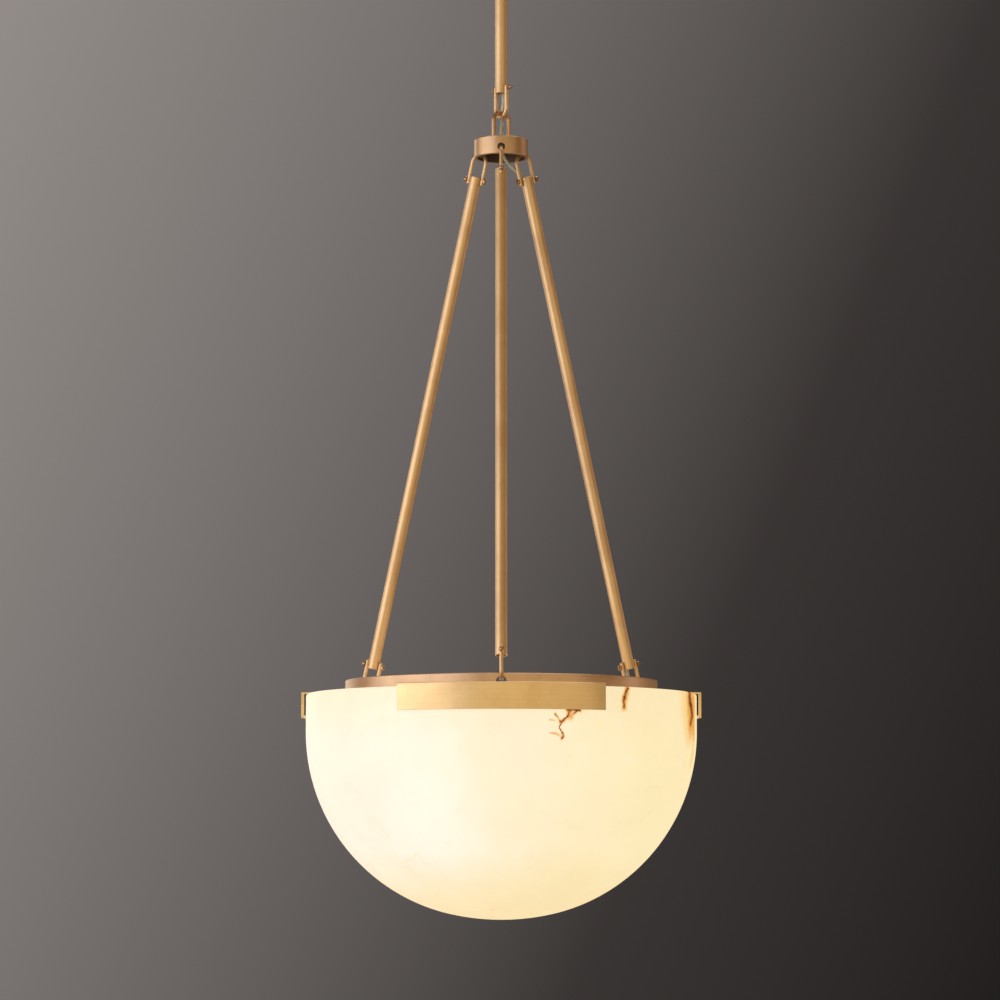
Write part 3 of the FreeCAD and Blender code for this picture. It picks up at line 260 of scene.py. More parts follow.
# ---------------------------------------------------------------- alabaster
# Veins as runs of (degrees from the front towards +X, millimetres below the rim), the width
# in millimetres at each end, and the kind: a dark core, an orange stain or a pale wash.
VEINS = [
    ([(18.9, 23.2), (19.5, 24.6)], 1.5, 1.3, "core"),
    ([(20.2, 23.6), (22.5, 24.4)], 1.3, 1.5, "core"),
    ([(21.6, 25.4), (20.6, 27.8)], 1.3, 0.8, "core"),
    ([(19.2, 26.0), (18.9, 30.6), (18.0, 33.0), (17.2, 34.8), (16.9, 36.6)], 0.9, 0.8, "core"),
    ([(16.9, 36.4), (16.5, 41.0), (16.5, 42.6), (17.0, 44.0)], 0.55, 0.6, "core"),
    ([(17.2, 45.4), (17.5, 49.2), (17.2, 51.6)], 0.9, 1.1, "core"),
    ([(15.1, 27.6), (15.8, 30.2)], 0.7, 0.8, "core"),
    ([(16.5, 34.6), (16.7, 35.6)], 1.0, 1.0, "core"),
    ([(19.6, 26.4), (19.7, 31.6)], 4.2, 3.6, "stain"),
    ([(18.4, 33.4), (16.6, 36.4)], 1.7, 2.2, "stain"),
    ([(15.9, 31.0), (16.5, 35.0)], 1.1, 1.3, "stain"),
    ([(17.2, 51.2), (16.4, 48.9), (15.3, 47.2), (14.6, 47.0)], 1.1, 1.8, "stain"),
    ([(14.5, 46.9), (13.6, 46.9)], 1.2, 0.9, "stain"),
    ([(13.7, 33.6), (14.9, 34.4)], 1.0, 0.9, "stain"),
    ([(38.7, 1.0), (37.7, 5.2), (37.3, 9.8), (37.0, 14.0)], 1.5, 1.9, "core"),
    ([(37.0, 15.4), (37.1, 20.0)], 1.7, 1.4, "core"),
    ([(38.3, 2.0), (37.3, 14.0), (37.1, 21.4)], 4.0, 3.4, "stain"),
    ([(72.2, 0.5), (71.7, 6.0), (72.7, 11.4), (74.0, 17.0), (74.5, 22.0)], 5.0, 6.4, "core"),
    ([(74.5, 22.0), (73.7, 27.0), (72.4, 33.0)], 6.0, 2.6, "core"),
    ([(74.6, 1.0), (75.2, 14.0), (75.0, 25.0), (73.8, 36.0)], 21.0, 13.0, "stain"),
    ([(71.4, 9.0), (71.0, 18.0), (71.4, 27.0), (71.6, 36.0)], 8.0, 6.0, "stain"),
    ([(69.0, 4.0), (68.6, 18.0), (69.4, 30.0), (71.0, 46.0)], 22.0, 14.0, "wash"),
    ([(76.0, 12.0), (77.4, 40.0), (77.0, 70.0)], 16.0, 9.0, "wash"),
    ([(76.0, 26.0), (76.6, 38.0), (77.0, 46.0)], 10.0, 4.0, "stain"),
    ([(140.0, 2.0), (141.6, 6.0), (141.1, 10.5), (142.9, 14.0), (142.4, 18.5)], 1.2, 1.0, "core"),
    ([(142.4, 18.5), (143.9, 21.0), (143.2, 25.5), (144.6, 29.0), (144.1, 33.5)], 1.0, 0.6, "core"),
    ([(142.9, 14.0), (144.9, 16.2), (145.6, 19.0), (147.6, 20.6), (148.1, 24.0)], 0.9, 0.5, "core"),
    ([(141.4, 6.0), (143.0, 16.0), (143.6, 28.0)], 3.4, 2.4, "stain"),
    ([(-124.0, 30.0), (-122.9, 34.0), (-123.4, 38.5), (-121.6, 42.0)], 1.0, 0.9, "core"),
    ([(-121.6, 42.0), (-121.9, 46.5), (-120.2, 49.5), (-120.7, 53.5)], 0.9, 0.6, "core"),
    ([(-121.6, 42.0), (-119.7, 43.6), (-118.9, 46.8), (-117.0, 48.4)], 0.7, 0.5, "core"),
    ([(-123.0, 34.0), (-121.6, 44.0), (-120.6, 52.0)], 3.0, 2.2, "stain"),
    ([(-168.0, 26.0), (-168.9, 29.5), (-168.2, 33.0), (-169.3, 36.0)], 0.8, 0.5, "core"),
]
METRES_PER_DEGREE = math.radians(1) * BOWL_RADIUS
CORE_SPREAD = 0.00076
STAIN_SPREAD = 0.00068


def vein_group():
    """Nodes for one straight piece of vein: the smaller of the distance so far and the
    distance to this piece, each as a multiple of the vein's half width."""
    group = bpy.data.node_groups.new("vein_piece", "ShaderNodeTree")
    for name, kind in (
        ("Place", "NodeSocketVector"),
        ("Start", "NodeSocketVector"),
        ("Run", "NodeSocketVector"),
        ("Inverse", "NodeSocketFloat"),
        ("Width", "NodeSocketFloat"),
        ("Growth", "NodeSocketFloat"),
        ("Before", "NodeSocketFloat"),
    ):
        group.interface.new_socket(name, in_out="INPUT", socket_type=kind)
    group.interface.new_socket("Nearest", in_out="OUTPUT", socket_type="NodeSocketFloat")
    into = group.nodes.new("NodeGroupInput").outputs
    out = group.nodes.new("NodeGroupOutput").inputs

    def add(kind, operation, *values, clamp=False):
        made = group.nodes.new("ShaderNode" + kind)
        made.operation = operation
        if clamp:
            made.use_clamp = True
        sockets = list(made.inputs)
        if operation == "SCALE":
            sockets = [made.inputs[0], made.inputs["Scale"]]
        for socket, value in zip(sockets, values):
            if value is None:
                socket.default_value = (0.0, 0.0, 0.0)
            else:
                group.links.new(value, socket)
        single = operation in ("DOT_PRODUCT", "LENGTH")
        return made.outputs["Value"] if kind == "Math" or single else made.outputs[0]

    # the place is passed through the last piece's result, which keeps the pieces in turn
    held = add("VectorMath", "MULTIPLY_ADD", into["Before"], None, into["Place"])
    offset = add("VectorMath", "SUBTRACT", held, into["Start"])
    dot = add("VectorMath", "DOT_PRODUCT", offset, into["Run"])
    share = add("Math", "MULTIPLY", dot, into["Inverse"], clamp=True)
    nearest = add("VectorMath", "SCALE", into["Run"], share)
    gap = add("VectorMath", "LENGTH", add("VectorMath", "SUBTRACT", offset, nearest))
    width = add("Math", "MULTIPLY_ADD", share, into["Growth"], into["Width"])
    ratio = add("Math", "DIVIDE", gap, width)
    group.links.new(add("Math", "MINIMUM", ratio, into["Before"]), out[0])
    return group


def vein_distance(g, group, place, kind, spread):
    """The least distance to any vein of this kind, in half widths."""
    nearest = 99.0
    for points, first, last, sort in VEINS:
        if sort != kind:
            continue
        pieces = len(points) - 1
        for index in range(pieces):
            start = Vector((points[index][0] * METRES_PER_DEGREE, -points[index][1] / 1000, 0))
            end = points[index + 1]
            run = Vector((end[0] * METRES_PER_DEGREE, -end[1] / 1000, 0)) - start
            width = (first + (last - first) * index / pieces) * spread
            growth = (last - first) / pieces * spread
            made = g.add("Group", node_tree=group)
            values = (place, start, run, 1 / run.length_squared, width, growth, nearest)
            for socket, value in zip(made.inputs, values):
                g.put(socket, value)
            nearest = made.outputs[0]
    return nearest


def alabaster():
    g = Graph("lit_alabaster", IOR=1.5)
    split = g.add("SeparateXYZ", g.place)
    x, y, z = split.outputs
    depth = g.math("SUBTRACT", z, RIM_Z)
    angle = g.math("ARCTAN2", x, g.math("MULTIPLY", y, -1.0))
    unrolled = g.add("CombineXYZ", g.math("MULTIPLY", angle, BOWL_RADIUS), depth, 0.0)
    wander = g.noise_offset(unrolled.outputs[0], 150.0, 0.0032)
    wander = g.noise_offset(wander, 700.0, 0.0011)

    # the stone's own clouds and threads
    warped = g.noise_offset(g.place, 9.0, 0.05)
    cloud = g.noise(warped, 11.0, 5.0, 0.6)
    wisp = g.noise(g.noise_offset(g.place, 30.0, 0.02), 34.0, 6.0, 0.68)
    grain = g.noise(g.place, 520.0, 3.0, 0.6)
    thread_noise = g.noise(g.noise_offset(g.place, 14.0, 0.03), 16.0, 3.0, 0.55)
    thread = g.math("ABSOLUTE", g.math("SUBTRACT", thread_noise, 0.5))
    thread = g.ease(thread, 0.012, 0.0)
    patch = g.ease(g.noise(g.place, 7.0, 2.0, 0.5), 0.54, 0.66)
    thread = g.math("MULTIPLY", thread, patch)

    # veins
    group = vein_group()
    core_near = vein_distance(g, group, wander, "core", CORE_SPREAD)
    stain_near = vein_distance(g, group, wander, "stain", STAIN_SPREAD)
    wash_near = vein_distance(g, group, wander, "wash", STAIN_SPREAD)
    blotch = g.noise(wander, 190.0, 3.0, 0.6)
    wash = g.math("MULTIPLY", g.ease(wash_near, 1.9, 0.1), g.ease(blotch, 0.25, 0.60, 0.6, 1.0))
    core = g.math("MULTIPLY", g.ease(core_near, 1.5, 0.5), g.ease(blotch, 0.34, 0.56, 0.5, 1.0))
    halo = g.ease(core_near, 4.6, 0.9)
    rust = g.ease(core_near, 2.4, 0.9)
    stain = g.math("MULTIPLY", g.ease(stain_near, 2.1, 0.2), g.ease(blotch, 0.30, 0.60, 0.45, 1.0))

    # light: cream on the left, warmer to the right and at the foot
    side = g.math("ADD", x, g.math("MULTIPLY", g.math("SUBTRACT", cloud, 0.5), 0.10))
    glow = g.mix(g.ease(side, -0.10, 0.02), rgb(254, 243, 226), rgb(254, 240, 206))
    glow = g.mix(g.ease(side, 0.0, 0.17), glow, rgb(254, 238, 189))
    foot = g.ease(depth, -0.150, -0.226)
    glow = g.mix(g.math("MULTIPLY", foot, 0.75), glow, rgb(250, 226, 168))
    top = g.ease(depth, -0.060, 0.0)
    glow = g.mix(g.math("MULTIPLY", top, 0.45), glow, rgb(249, 229, 186))
    for centre, reach, tint, share in (
        ((-0.062, -0.150, RIM_Z - 0.135), 0.085, rgb(255, 251, 236), 0.85),
        ((0.075, -0.120, RIM_Z - 0.190), 0.070, rgb(252, 232, 176), 0.45),
        ((0.150, 0.110, RIM_Z - 0.120), 0.090, rgb(255, 248, 224), 0.7),
        ((-0.120, 0.140, RIM_Z - 0.120), 0.090, rgb(255, 248, 224), 0.7),
    ):
        near = g.ease(g.vector("DISTANCE", warped, centre), reach, 0.0)
        glow = g.mix(g.math("MULTIPLY", near, share), glow, tint)
    lilac = g.ease(g.vector("DISTANCE", warped, (0.02, -0.2, RIM_Z - 0.055)), 0.06, 0.0)
    glow = g.mix(g.math("MULTIPLY", lilac, 0.30), glow, rgb(243, 228, 206))
    glow = g.mix(g.math("MULTIPLY", g.ease(wisp, 0.56, 0.74), 0.22), glow, rgb(247, 226, 178))
    glow = g.mix(g.math("MULTIPLY", g.ease(wisp, 0.42, 0.28), 0.30), glow, rgb(255, 250, 238))
    glow = g.mix(g.math("MULTIPLY", thread, 0.28), glow, rgb(240, 204, 138))
    glow = g.mix(g.math("MULTIPLY", halo, 0.60), glow, rgb(250, 206, 124))
    glow = g.mix(g.math("MULTIPLY", wash, 0.70), glow, rgb(250, 200, 104))
    glow = g.mix(g.math("MULTIPLY", stain, 0.90), glow, rgb(230, 152, 44))
    glow = g.mix(g.math("MULTIPLY", rust, 0.60), glow, rgb(196, 112, 24))
    glow = g.mix(g.math("MULTIPLY", core, 0.95), glow, rgb(98, 36, 2))

    # the inside is lit straight by the bulbs, and the rim's top, where the bare wall shows, gets a
    # dimmer, warmer painted glow
    normal = g.add("SeparateXYZ", g.add("NewGeometry").outputs["Normal"])
    level = g.add("CombineXYZ", x, y, 0.0)
    outward = g.vector("DOT_PRODUCT", g.add("NewGeometry").outputs["Normal"], level.outputs[0])
    inside = g.ease(outward, 0.0, -0.05)
    rim = g.ease(normal.outputs[2], 0.7, 0.95)
    glow = g.mix(g.math("MULTIPLY", inside, 0.55), glow, rgb(255, 246, 222))
    glow = g.mix(g.math("MULTIPLY", rim, 0.35), glow, rgb(235, 205, 150))
    g.set("Emission Color", glow)
    g.set("Emission Strength", g.add("MapRange", inside, 0.0, 1.0, 0.88, 0.56).outputs[0])

    stone = g.mix(g.ease(cloud, 0.35, 0.68), rgb(150, 138, 118), rgb(130, 116, 94))
    stone = g.mix(g.math("MULTIPLY", g.ease(wisp, 0.5, 0.75), 0.4), stone, rgb(112, 96, 74))
    stone = g.mix(g.math("MULTIPLY", stain, 0.8), stone, rgb(140, 84, 30))
    stone = g.mix(core, stone, rgb(64, 30, 10))
    g.set("Base Color", stone)
    rough = g.math("ADD", g.math("MULTIPLY", grain, 0.25), g.math("MULTIPLY", wisp, 0.25))
    g.set("Roughness", g.add("MapRange", rough, 0.15, 0.35, 0.38, 0.56).outputs[0])
    g.set("Specular IOR Level", 0.35)
    pits = g.math("SUBTRACT", grain, g.math("MULTIPLY", core, 0.8))
    g.relief(pits, 0.10, 0.0004)
    return g.material


def opal_glass():
    """Frosted bulb glass, brightest round its middle."""
    g = Graph("opal_bulb_glass", IOR=1.5)
    fine = g.noise(g.place, 160.0, 3.0, 0.6)
    radius = g.vector("LENGTH", g.scaled(g.place, (1.0, 1.0, 0.0)))
    hot = g.ease(radius, 0.068, 0.098)
    g.set("Base Color", g.mix(g.ease(fine, 0.4, 0.7), rgb(245, 238, 222), rgb(232, 222, 200)))
    g.set("Emission Color", g.mix(hot, rgb(255, 214, 150), rgb(255, 238, 205)))
    g.set("Emission Strength", 2.4)
    g.set("Roughness", g.add("MapRange", fine, 0.3, 0.7, 0.22, 0.4).outputs[0])
    g.relief(fine, 0.05, 0.0002)
    return g.material


def clear_jacket():
    """Clear flex jacket, slightly green, with faint flow marks."""
    g = Graph("clear_flex_jacket", IOR=1.40, Transmission_Weight=0.50)
    fine = g.noise(g.place, 420.0, 3.0, 0.6)
    broad = g.noise(g.place, 60.0, 3.0, 0.5)
    g.set("Base Color", g.mix(g.ease(broad, 0.35, 0.7), rgb(252, 253, 240), rgb(236, 243, 218)))
    g.set("Roughness", g.add("MapRange", fine, 0.3, 0.7, 0.06, 0.2).outputs[0])
    g.relief(fine, 0.08, 0.0002)
    return g.material


def stranded(name, light, dark):
    """A bundle of fine bare wires."""
    g = Graph(name, Metallic=1.0)
    lay = g.noise(g.scaled(g.place, (1.0, 1.0, 0.35)), 2400.0, 2.0, 0.5)
    tone = g.noise(g.place, 140.0, 3.0, 0.6)
    colour = g.mix(g.ease(tone, 0.35, 0.7), light, dark)
    # painted shade in the grooves between the wires
    between = g.math("MULTIPLY", g.ease(lay, 0.6, 0.4), 0.5)
    g.set("Base Color", g.mix(between, colour, (0.05, 0.04, 0.03, 1)))
    g.set("Roughness", g.add("MapRange", tone, 0.3, 0.7, 0.25, 0.4).outputs[0])
    g.relief(lay, 0.5, 0.0002)
    return g.material


# ---------------------------------------------------------------- materials in use
BRASS_LIGHT = rgb(232, 192, 134)
BRASS_DARK = rgb(206, 160, 102)
arm_brass = {
    arm: brass(
        f"arm_brass_{arm}",
        BRASS_LIGHT,
        BRASS_DARK,
        "axis",
        direction=(
            math.cos(math.radians(angle)) * math.sin(ARM_TILT),
            math.sin(math.radians(angle)) * math.sin(ARM_TILT),
            -math.cos(ARM_TILT),
        ),
    )
    for arm, angle in ARMS.items()
}
MATERIALS = {
    "upright_brass": brass("upright_brass", BRASS_LIGHT, BRASS_DARK, "axis"),
    "turned_brass": brass(
        "turned_brass",
        rgb(208, 164, 112),
        rgb(180, 132, 84),
        "rings",
        (0.44, 0.56),
        # painted shade on the inward faces of the hub and canopy
        painted_shade_inside=True,
    ),
    "ring_brass": brass("ring_brass", rgb(212, 170, 124), rgb(184, 138, 98), "rings", (0.38, 0.50)),
    "apron_brass": brass(
        "apron_brass",
        rgb(234, 199, 138),
        rgb(214, 173, 107),
        "rings",
        (0.32, 0.42),
        streaks=0.05,
    ),
    "link_brass": brass("link_brass", rgb(196, 148, 98), rgb(158, 110, 68), "axis", (0.34, 0.46)),
    "pin_brass": brass("pin_brass", rgb(176, 132, 88), rgb(118, 82, 52), "rings", (0.16, 0.28)),
    "zinc_steel": plated_steel("zinc_steel", (0.60, 0.61, 0.60, 1)),
    "nickel_cap": plated_steel("nickel_cap", (0.74, 0.72, 0.67, 1), 40.0),
    "earth_green": painted("earth_green", rgb(58, 140, 66), rgb(34, 104, 44), 0.3, 0.2, 0.1),
    "white_nylon": painted("white_nylon", rgb(232, 230, 222), rgb(214, 210, 198), 0.42, 0.14, 0.12),
    "black_rubber": painted("black_rubber", rgb(46, 45, 44), rgb(30, 29, 28), 0.62, 0.2, 0.35),
    "white_enamel": painted(
        "white_enamel", rgb(228, 224, 214), rgb(208, 202, 188), 0.28, 0.16, 0.10
    ),
    "porcelain": painted("porcelain", rgb(240, 236, 226), rgb(222, 216, 202), 0.10, 0.12, 0.04),
    "alabaster": alabaster(),
    "opal_glass": opal_glass(),
    "clear_cable": clear_jacket(),
    "green_core": painted("green_core", rgb(46, 74, 40), rgb(28, 52, 28), 0.3, 0.15, 0.1),
    "tinned_core": stranded("tinned_core", rgb(240, 238, 232), rgb(196, 196, 188)),
}
FINISH_BY_NODE = {
    "stem": "upright_brass",
    "hub_cap": "turned_brass",
    "hub_loop": "link_brass",
    "canopy": "turned_brass",
    "support_ring": "ring_brass",
    "cluster_rod": "zinc_steel",
}
for entry in frame["record"]["subparts"]:
    node_name = entry["node"]
    slot_name = entry["material_slot"]
    arm_name = node_name.rsplit("_", 1)[-1]
    if node_name.startswith(("arm_tube_", "upper_hook_", "lower_hook_")):
        finish = arm_brass[arm_name]
    elif node_name.startswith("rim_bracket_"):
        finish = MATERIALS["apron_brass"]
    elif node_name in FINISH_BY_NODE:
        finish = MATERIALS[FINISH_BY_NODE[node_name]]
    elif slot_name == "satin_brass":
        finish = MATERIALS["upright_brass"]
    elif slot_name == "brass_fasteners":
        finish = MATERIALS["pin_brass"]
    else:
        finish = MATERIALS[slot_name]
    for material_slot in frame["nodes"][node_name].material_slots:
        material_slot.material = finish


# ---------------------------------------------------------------- cable
CABLE_DIAMETER = 0.0034
CORE_RADIUS = 0.00058
CORE_OFFSET = 0.00072
CORE_LAY = 0.026
LEAD_DIAMETER = 0.0018
ROUTES = {
    "stem": [
        (-0.01588, 0.0, -0.004),
        (-0.0067, 0.0, -0.004),
        (0.0, 0.0, -0.0107),
        (0.00033, 0.00023, -0.028),
        (0.00123, 0.00086, -0.06),
        (0.00238, 0.00166, -0.102),
        (0.00258, 0.00181, -0.129),
        (0.00258, 0.00181, -0.15),
    ],
    "shackle": [
        (0.00258, 0.00181, -0.15),
        (0.00258, 0.00181, -0.174),
        (0.00116, 0.0066, -0.18835),
        (0.00116, 0.0066, -0.19535),
    ],
    "loop": [
        (0.00116, 0.0066, -0.19535),
        (0.00116, 0.0066, -0.20235),
        (0.0, 0.0, -0.2143),
        (0.0, 0.0, -0.2243),
    ],
    "hub": [
        (0.0, 0.0, -0.2243),
        (0.0, 0.0, -0.2363),
        (0.01271, 0.01299, -0.25032),
        (0.02401, 0.0175, -0.25525),
        (0.02734, 0.01942, -0.27099),
    ],
    "arm": [
        (0.02734, 0.01942, -0.27099),
        (0.07853, 0.048975, -0.512615),
        (0.12972, 0.07853, -0.75424),
    ],
    "bowl": [
        (0.12972, 0.07853, -0.75424),
        (0.13476, 0.08144, -0.77803),
        (0.12696, 0.0793, -0.79077),
        (0.11401, 0.07113, -0.80317),
        (0.0854, 0.05208, -0.80317),
        (0.05319, 0.03187, -0.80317),
        (0.03444, 0.02035, -0.79917),
        (0.02338, 0.0135, -0.79417),
        (0.01602, 0.00925, -0.79597),
        (0.01039, 0.006, -0.80347),
        (0.01039, 0.006, -0.82392),
    ],
}
LEADS = [
    [
        (0.00493, 0.01047, -0.82792),
        (0.00168, 0.01309, -0.82552),
        (0.0, 0.01762, -0.82464),
        (0.0, 0.02341, -0.82619),
    ],
    [
        (0.00368, 0.00743, -0.82792),
        (-0.0025, 0.00433, -0.82602),
        (-0.00933, -0.00284, -0.82322),
        (-0.01526, -0.00881, -0.82464),
        (-0.02028, -0.01171, -0.82619),
    ],
    [
        (0.01153, -0.00097, -0.82792),
        (0.01218, -0.00509, -0.82552),
        (0.01526, -0.00881, -0.82464),
        (0.02028, -0.01171, -0.82619),
    ],
]


def smooth_line(route):
    """The points of one smooth NURBS spline whose control points are the route."""
    curve = bpy.data.curves.new("route", "CURVE")
    curve.dimensions = "3D"
    spline = curve.splines.new("NURBS")
    spline.points.add(len(route) - 1)
    for point, place in zip(spline.points, route):
        point.co = (*place, 1.0)
    spline.order_u = 3
    spline.use_endpoint_u = True
    spline.resolution_u = 10
    holder = bpy.data.objects.new("route", curve)
    mesh = bpy.data.meshes.new_from_object(holder)
    points = [vertex.co.copy() for vertex in mesh.vertices]
    bpy.data.objects.remove(holder)
    bpy.data.meshes.remove(mesh)
    bpy.data.curves.remove(curve)
    return points


def travelled(points):
    distances = [0.0]
    for before, here in zip(points, points[1:]):
        distances.append(distances[-1] + (here - before).length)
    return distances


def carried_frames(points):
    """A tangent and two sideways directions at each point, with no twist of their own."""
    tangents = []
    for index in range(len(points)):
        before = points[max(index - 1, 0)]
        after = points[min(index + 1, len(points) - 1)]
        tangents.append((after - before).normalized())
    side = tangents[0].orthogonal().normalized()
    frames = []
    for tangent in tangents:
        side = (side - tangent * side.dot(tangent)).normalized()
        frames.append((tangent, side, tangent.cross(side)))
    return frames


def add_mesh(name, vertices, faces, finish):
    mesh = bpy.data.meshes.new(name)
    mesh.from_pydata([tuple(v) for v in vertices], [], faces)
    mesh.validate()
    mesh.materials.append(MATERIALS[finish])
    mesh.polygons.foreach_set("use_smooth", [True] * len(mesh.polygons))
    piece = bpy.data.objects.new(name, mesh)
    bpy.context.collection.objects.link(piece)
    return piece


def swept(points, radius, sides, vertices, faces):
    """Append a closed tube round these points to the lists."""
    base = len(vertices)
    for point, (_, side, other) in zip(points, carried_frames(points)):
        for step in range(sides):
            turn = 2 * math.pi * step / sides
            vertices.append(point + (side * math.cos(turn) + other * math.sin(turn)) * radius)
    rings = len(points)
    for ring in range(rings - 1):
        for step in range(sides):
            a = base + ring * sides + step
            b = base + ring * sides + (step + 1) % sides
            faces.append((a, b, b + sides, a + sides))
    faces.append(tuple(base + step for step in reversed(range(sides))))
    faces.append(tuple(base + (rings - 1) * sides + step for step in range(sides)))


def twisted(points, offset, lay, phase):
    """A strand that winds round these points."""
    strand = []
    frames = carried_frames(points)
    for point, far, (_, side, other) in zip(points, travelled(points), frames):
        turn = 2 * math.pi * far / lay + phase
        strand.append(point + (side * math.cos(turn) + other * math.sin(turn)) * offset)
    return strand


def cable_pieces(name):
    """A clear jacket and its two twisted cores along one stretch of the cable."""
    points = smooth_line(ROUTES[name])
    vertices, faces = [], []
    swept(points, CABLE_DIAMETER / 2, 20, vertices, faces)
    jacket = add_mesh(f"jacket_{name}", vertices, faces, "clear_cable")
    cores = []
    for core, phase in (("green_core", 0.0), ("tinned_core", math.pi)):
        vertices, faces = [], []
        strand = twisted(points, CORE_OFFSET, CORE_LAY, phase)
        swept(strand, CORE_RADIUS, 10, vertices, faces)
        cores.append(add_mesh(f"{core}_{name}", vertices, faces, core))
    return points, jacket, cores


for stretch, body, crossing in (
    ("stem", "ceiling_mount", None),
    ("shackle", None, ("ceiling_mount", "shackle", (0, 0, -0.152), (0, 0, -0.194))),
    ("loop", None, ("shackle", "hub", (0, 0, -0.1965), (0, 0, -0.2205))),
    ("hub", None, ("hub", "arm_right", (0, 0, -0.2243), (0.027, 0.019, -0.269))),
    ("arm", "arm_right", None),
    ("bowl", "bowl_frame", None),
):
    line, jacket, cores = cable_pieces(stretch)
    for piece in [jacket] + cores:
        if crossing is None:
            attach(piece, body)
        else:
            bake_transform(piece)
    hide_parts(f"cable_{stretch}")

for number, route in enumerate(LEADS, start=1):
    vertices, faces = [], []
    line = smooth_line(route)
    swept(line, LEAD_DIAMETER / 2, 14, vertices, faces)
    lead = add_mesh(f"lampholder_lead_{number}", vertices, faces, "white_nylon")
    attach(lead, "bowl_frame")
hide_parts("lampholder_wires")


# ---------------------------------------------------------------- threads and sockets
STEPS = 24
THREAD_DEPTH = 0.56
UPRIGHT = [((0, 0, 0), (0, 0, 1))]


def thread(crest, pitch, start, end):
    """Rings of a screw thread between two heights."""
    root = crest - THREAD_DEPTH * pitch

    def radius(turn, height):
        phase = (height / pitch - turn / (2 * math.pi)) % 1.0
        return root + (crest - root) * min(1.0, max(0.0, 1.9 * (1 - abs(2 * phase - 1)) - 0.35))

    count = max(2, round((end - start) / pitch * 6))
    heights = [start + (end - start) * index / count for index in range(count + 1)]
    return [(radius, height) for height in heights]


def hexagonal(flats):
    def radius(turn, height):
        return flats / 2 / math.cos((turn + math.pi / 6) % (math.pi / 3) - math.pi / 6)

    return radius


def socket_screw(shank_r, length, head_r, head_height, pitch):
    """A screw along +Z, its head at the top with a rounded edge and a hexagon socket."""
    chamfer = 0.28 * head_height
    socket = hexagonal(head_r * 1.05)
    rings = [(shank_r * 0.72, -length)]
    rings += thread(shank_r, pitch, -length + pitch * 0.5, -pitch * 0.5)
    rings += [(shank_r, -pitch * 0.4), (shank_r, 0.0), (head_r, 0.0)]
    for step in range(5):
        lean = math.pi / 2 * step / 4
        across = head_r - chamfer * (1 - math.cos(lean))
        rings.append((across, head_height - chamfer * (1 - math.sin(lean))))
    rings += [(socket, head_height), (socket, head_height * 0.35)]
    return rings


def turned(name, rings, places, finish, hollow=False):
    """One mesh of the same turned shape at each place, (point, direction of its +Z)."""
    vertices, faces = [], []
    for point, direction in places:
        lean = Vector((0, 0, 1)).rotation_difference(Vector(direction)).to_matrix()
        base = len(vertices)
        for radius, height in rings:
            for step in range(STEPS):
                turn = 2 * math.pi * step / STEPS
                r = radius(turn, height) if callable(radius) else radius
                place = Vector((r * math.cos(turn), r * math.sin(turn), height))
                vertices.append(Vector(point) + lean @ place)
        count = len(rings)
        for ring in range(count if hollow else count - 1):
            low = base + ring * STEPS
            high = base + (ring + 1) % count * STEPS
            for step in range(STEPS):
                after = (step + 1) % STEPS
                faces.append((low + step, low + after, high + after, high + step))
        if not hollow:
            faces.append(tuple(base + step for step in reversed(range(STEPS))))
            faces.append(tuple(base + (count - 1) * STEPS + step for step in range(STEPS)))
    piece = add_mesh(name, vertices, faces, finish)
    piece.data.set_sharp_from_angle(angle=math.radians(38))
    return piece


def radial(angle, length, height):
    turn = math.radians(angle)
    return (length * math.cos(turn), length * math.sin(turn), height)


def stand_in(piece, node, body):
    """The piece takes the CAD node's place."""
    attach(piece, body)
    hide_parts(node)


STRAP_TOP = -0.018
CANOPY_SCREW_X = 0.025
STUD_ANGLE = 16.0
STUD_RADIUS = 0.20205
STUD_DROP = 0.012
BRACKET_SCREW_ANGLE = 5.8
BRACKET_SCREW_RADIUS = 0.1549
BRACKET_SCREW_DROP = 0.0026
nipple = thread(0.00505, 0.001, -0.0379, -0.0141) + [(0.0036, -0.014), (0.0036, -0.038)]
stand_in(
    turned("nipple_thread", nipple, UPRIGHT, "zinc_steel", hollow=True),
    "threaded_nipple",
    "ceiling_mount",
)

rod = [(0.0024, -0.83992)] + thread(0.003, 0.001, -0.8395, -0.7989) + [(0.0024, -0.79842)]
stand_in(
    turned("cluster_rod_thread", rod, UPRIGHT, "zinc_steel"),
    "cluster_rod",
    "bowl_frame",
)

stud = [(0.0019, -0.025)] + thread(0.0025, 0.0008, -0.0247, -0.0003) + [(0.0021, 0.0)]
stud_places = []
bracket_places = []
for angle in ARMS.values():
    for side in (-1, 1):
        turn = angle + side * STUD_ANGLE
        outward = radial(turn, 1.0, 0.0)
        stud_places.append((radial(turn, STUD_RADIUS, RIM_Z - STUD_DROP), outward))
        turn = angle + side * BRACKET_SCREW_ANGLE
        inward = radial(turn + 180.0, 1.0, 0.0)
        place = radial(turn, BRACKET_SCREW_RADIUS, RIM_Z - BRACKET_SCREW_DROP)
        bracket_places.append((place, inward))
stand_in(turned("stud_threads", stud, stud_places, "zinc_steel"), "bowl_studs", "bowl_frame")

bracket_screw = socket_screw(0.002, 0.00765, 0.003, 0.0024, 0.0007)
stand_in(
    turned("bracket_socket_screws", bracket_screw, bracket_places, "zinc_steel"),
    "bracket_screws",
    "bowl_frame",
)

canopy_screw = socket_screw(0.00195, 0.018, 0.0035, 0.0024, 0.0007)
canopy_places = [((side * CANOPY_SCREW_X, 0, STRAP_TOP), (0, 0, 1)) for side in (-1, 1)]
stand_in(
    turned("canopy_socket_screws", canopy_screw, canopy_places, "zinc_steel"),
    "canopy_screws",
    "ceiling_mount",
)

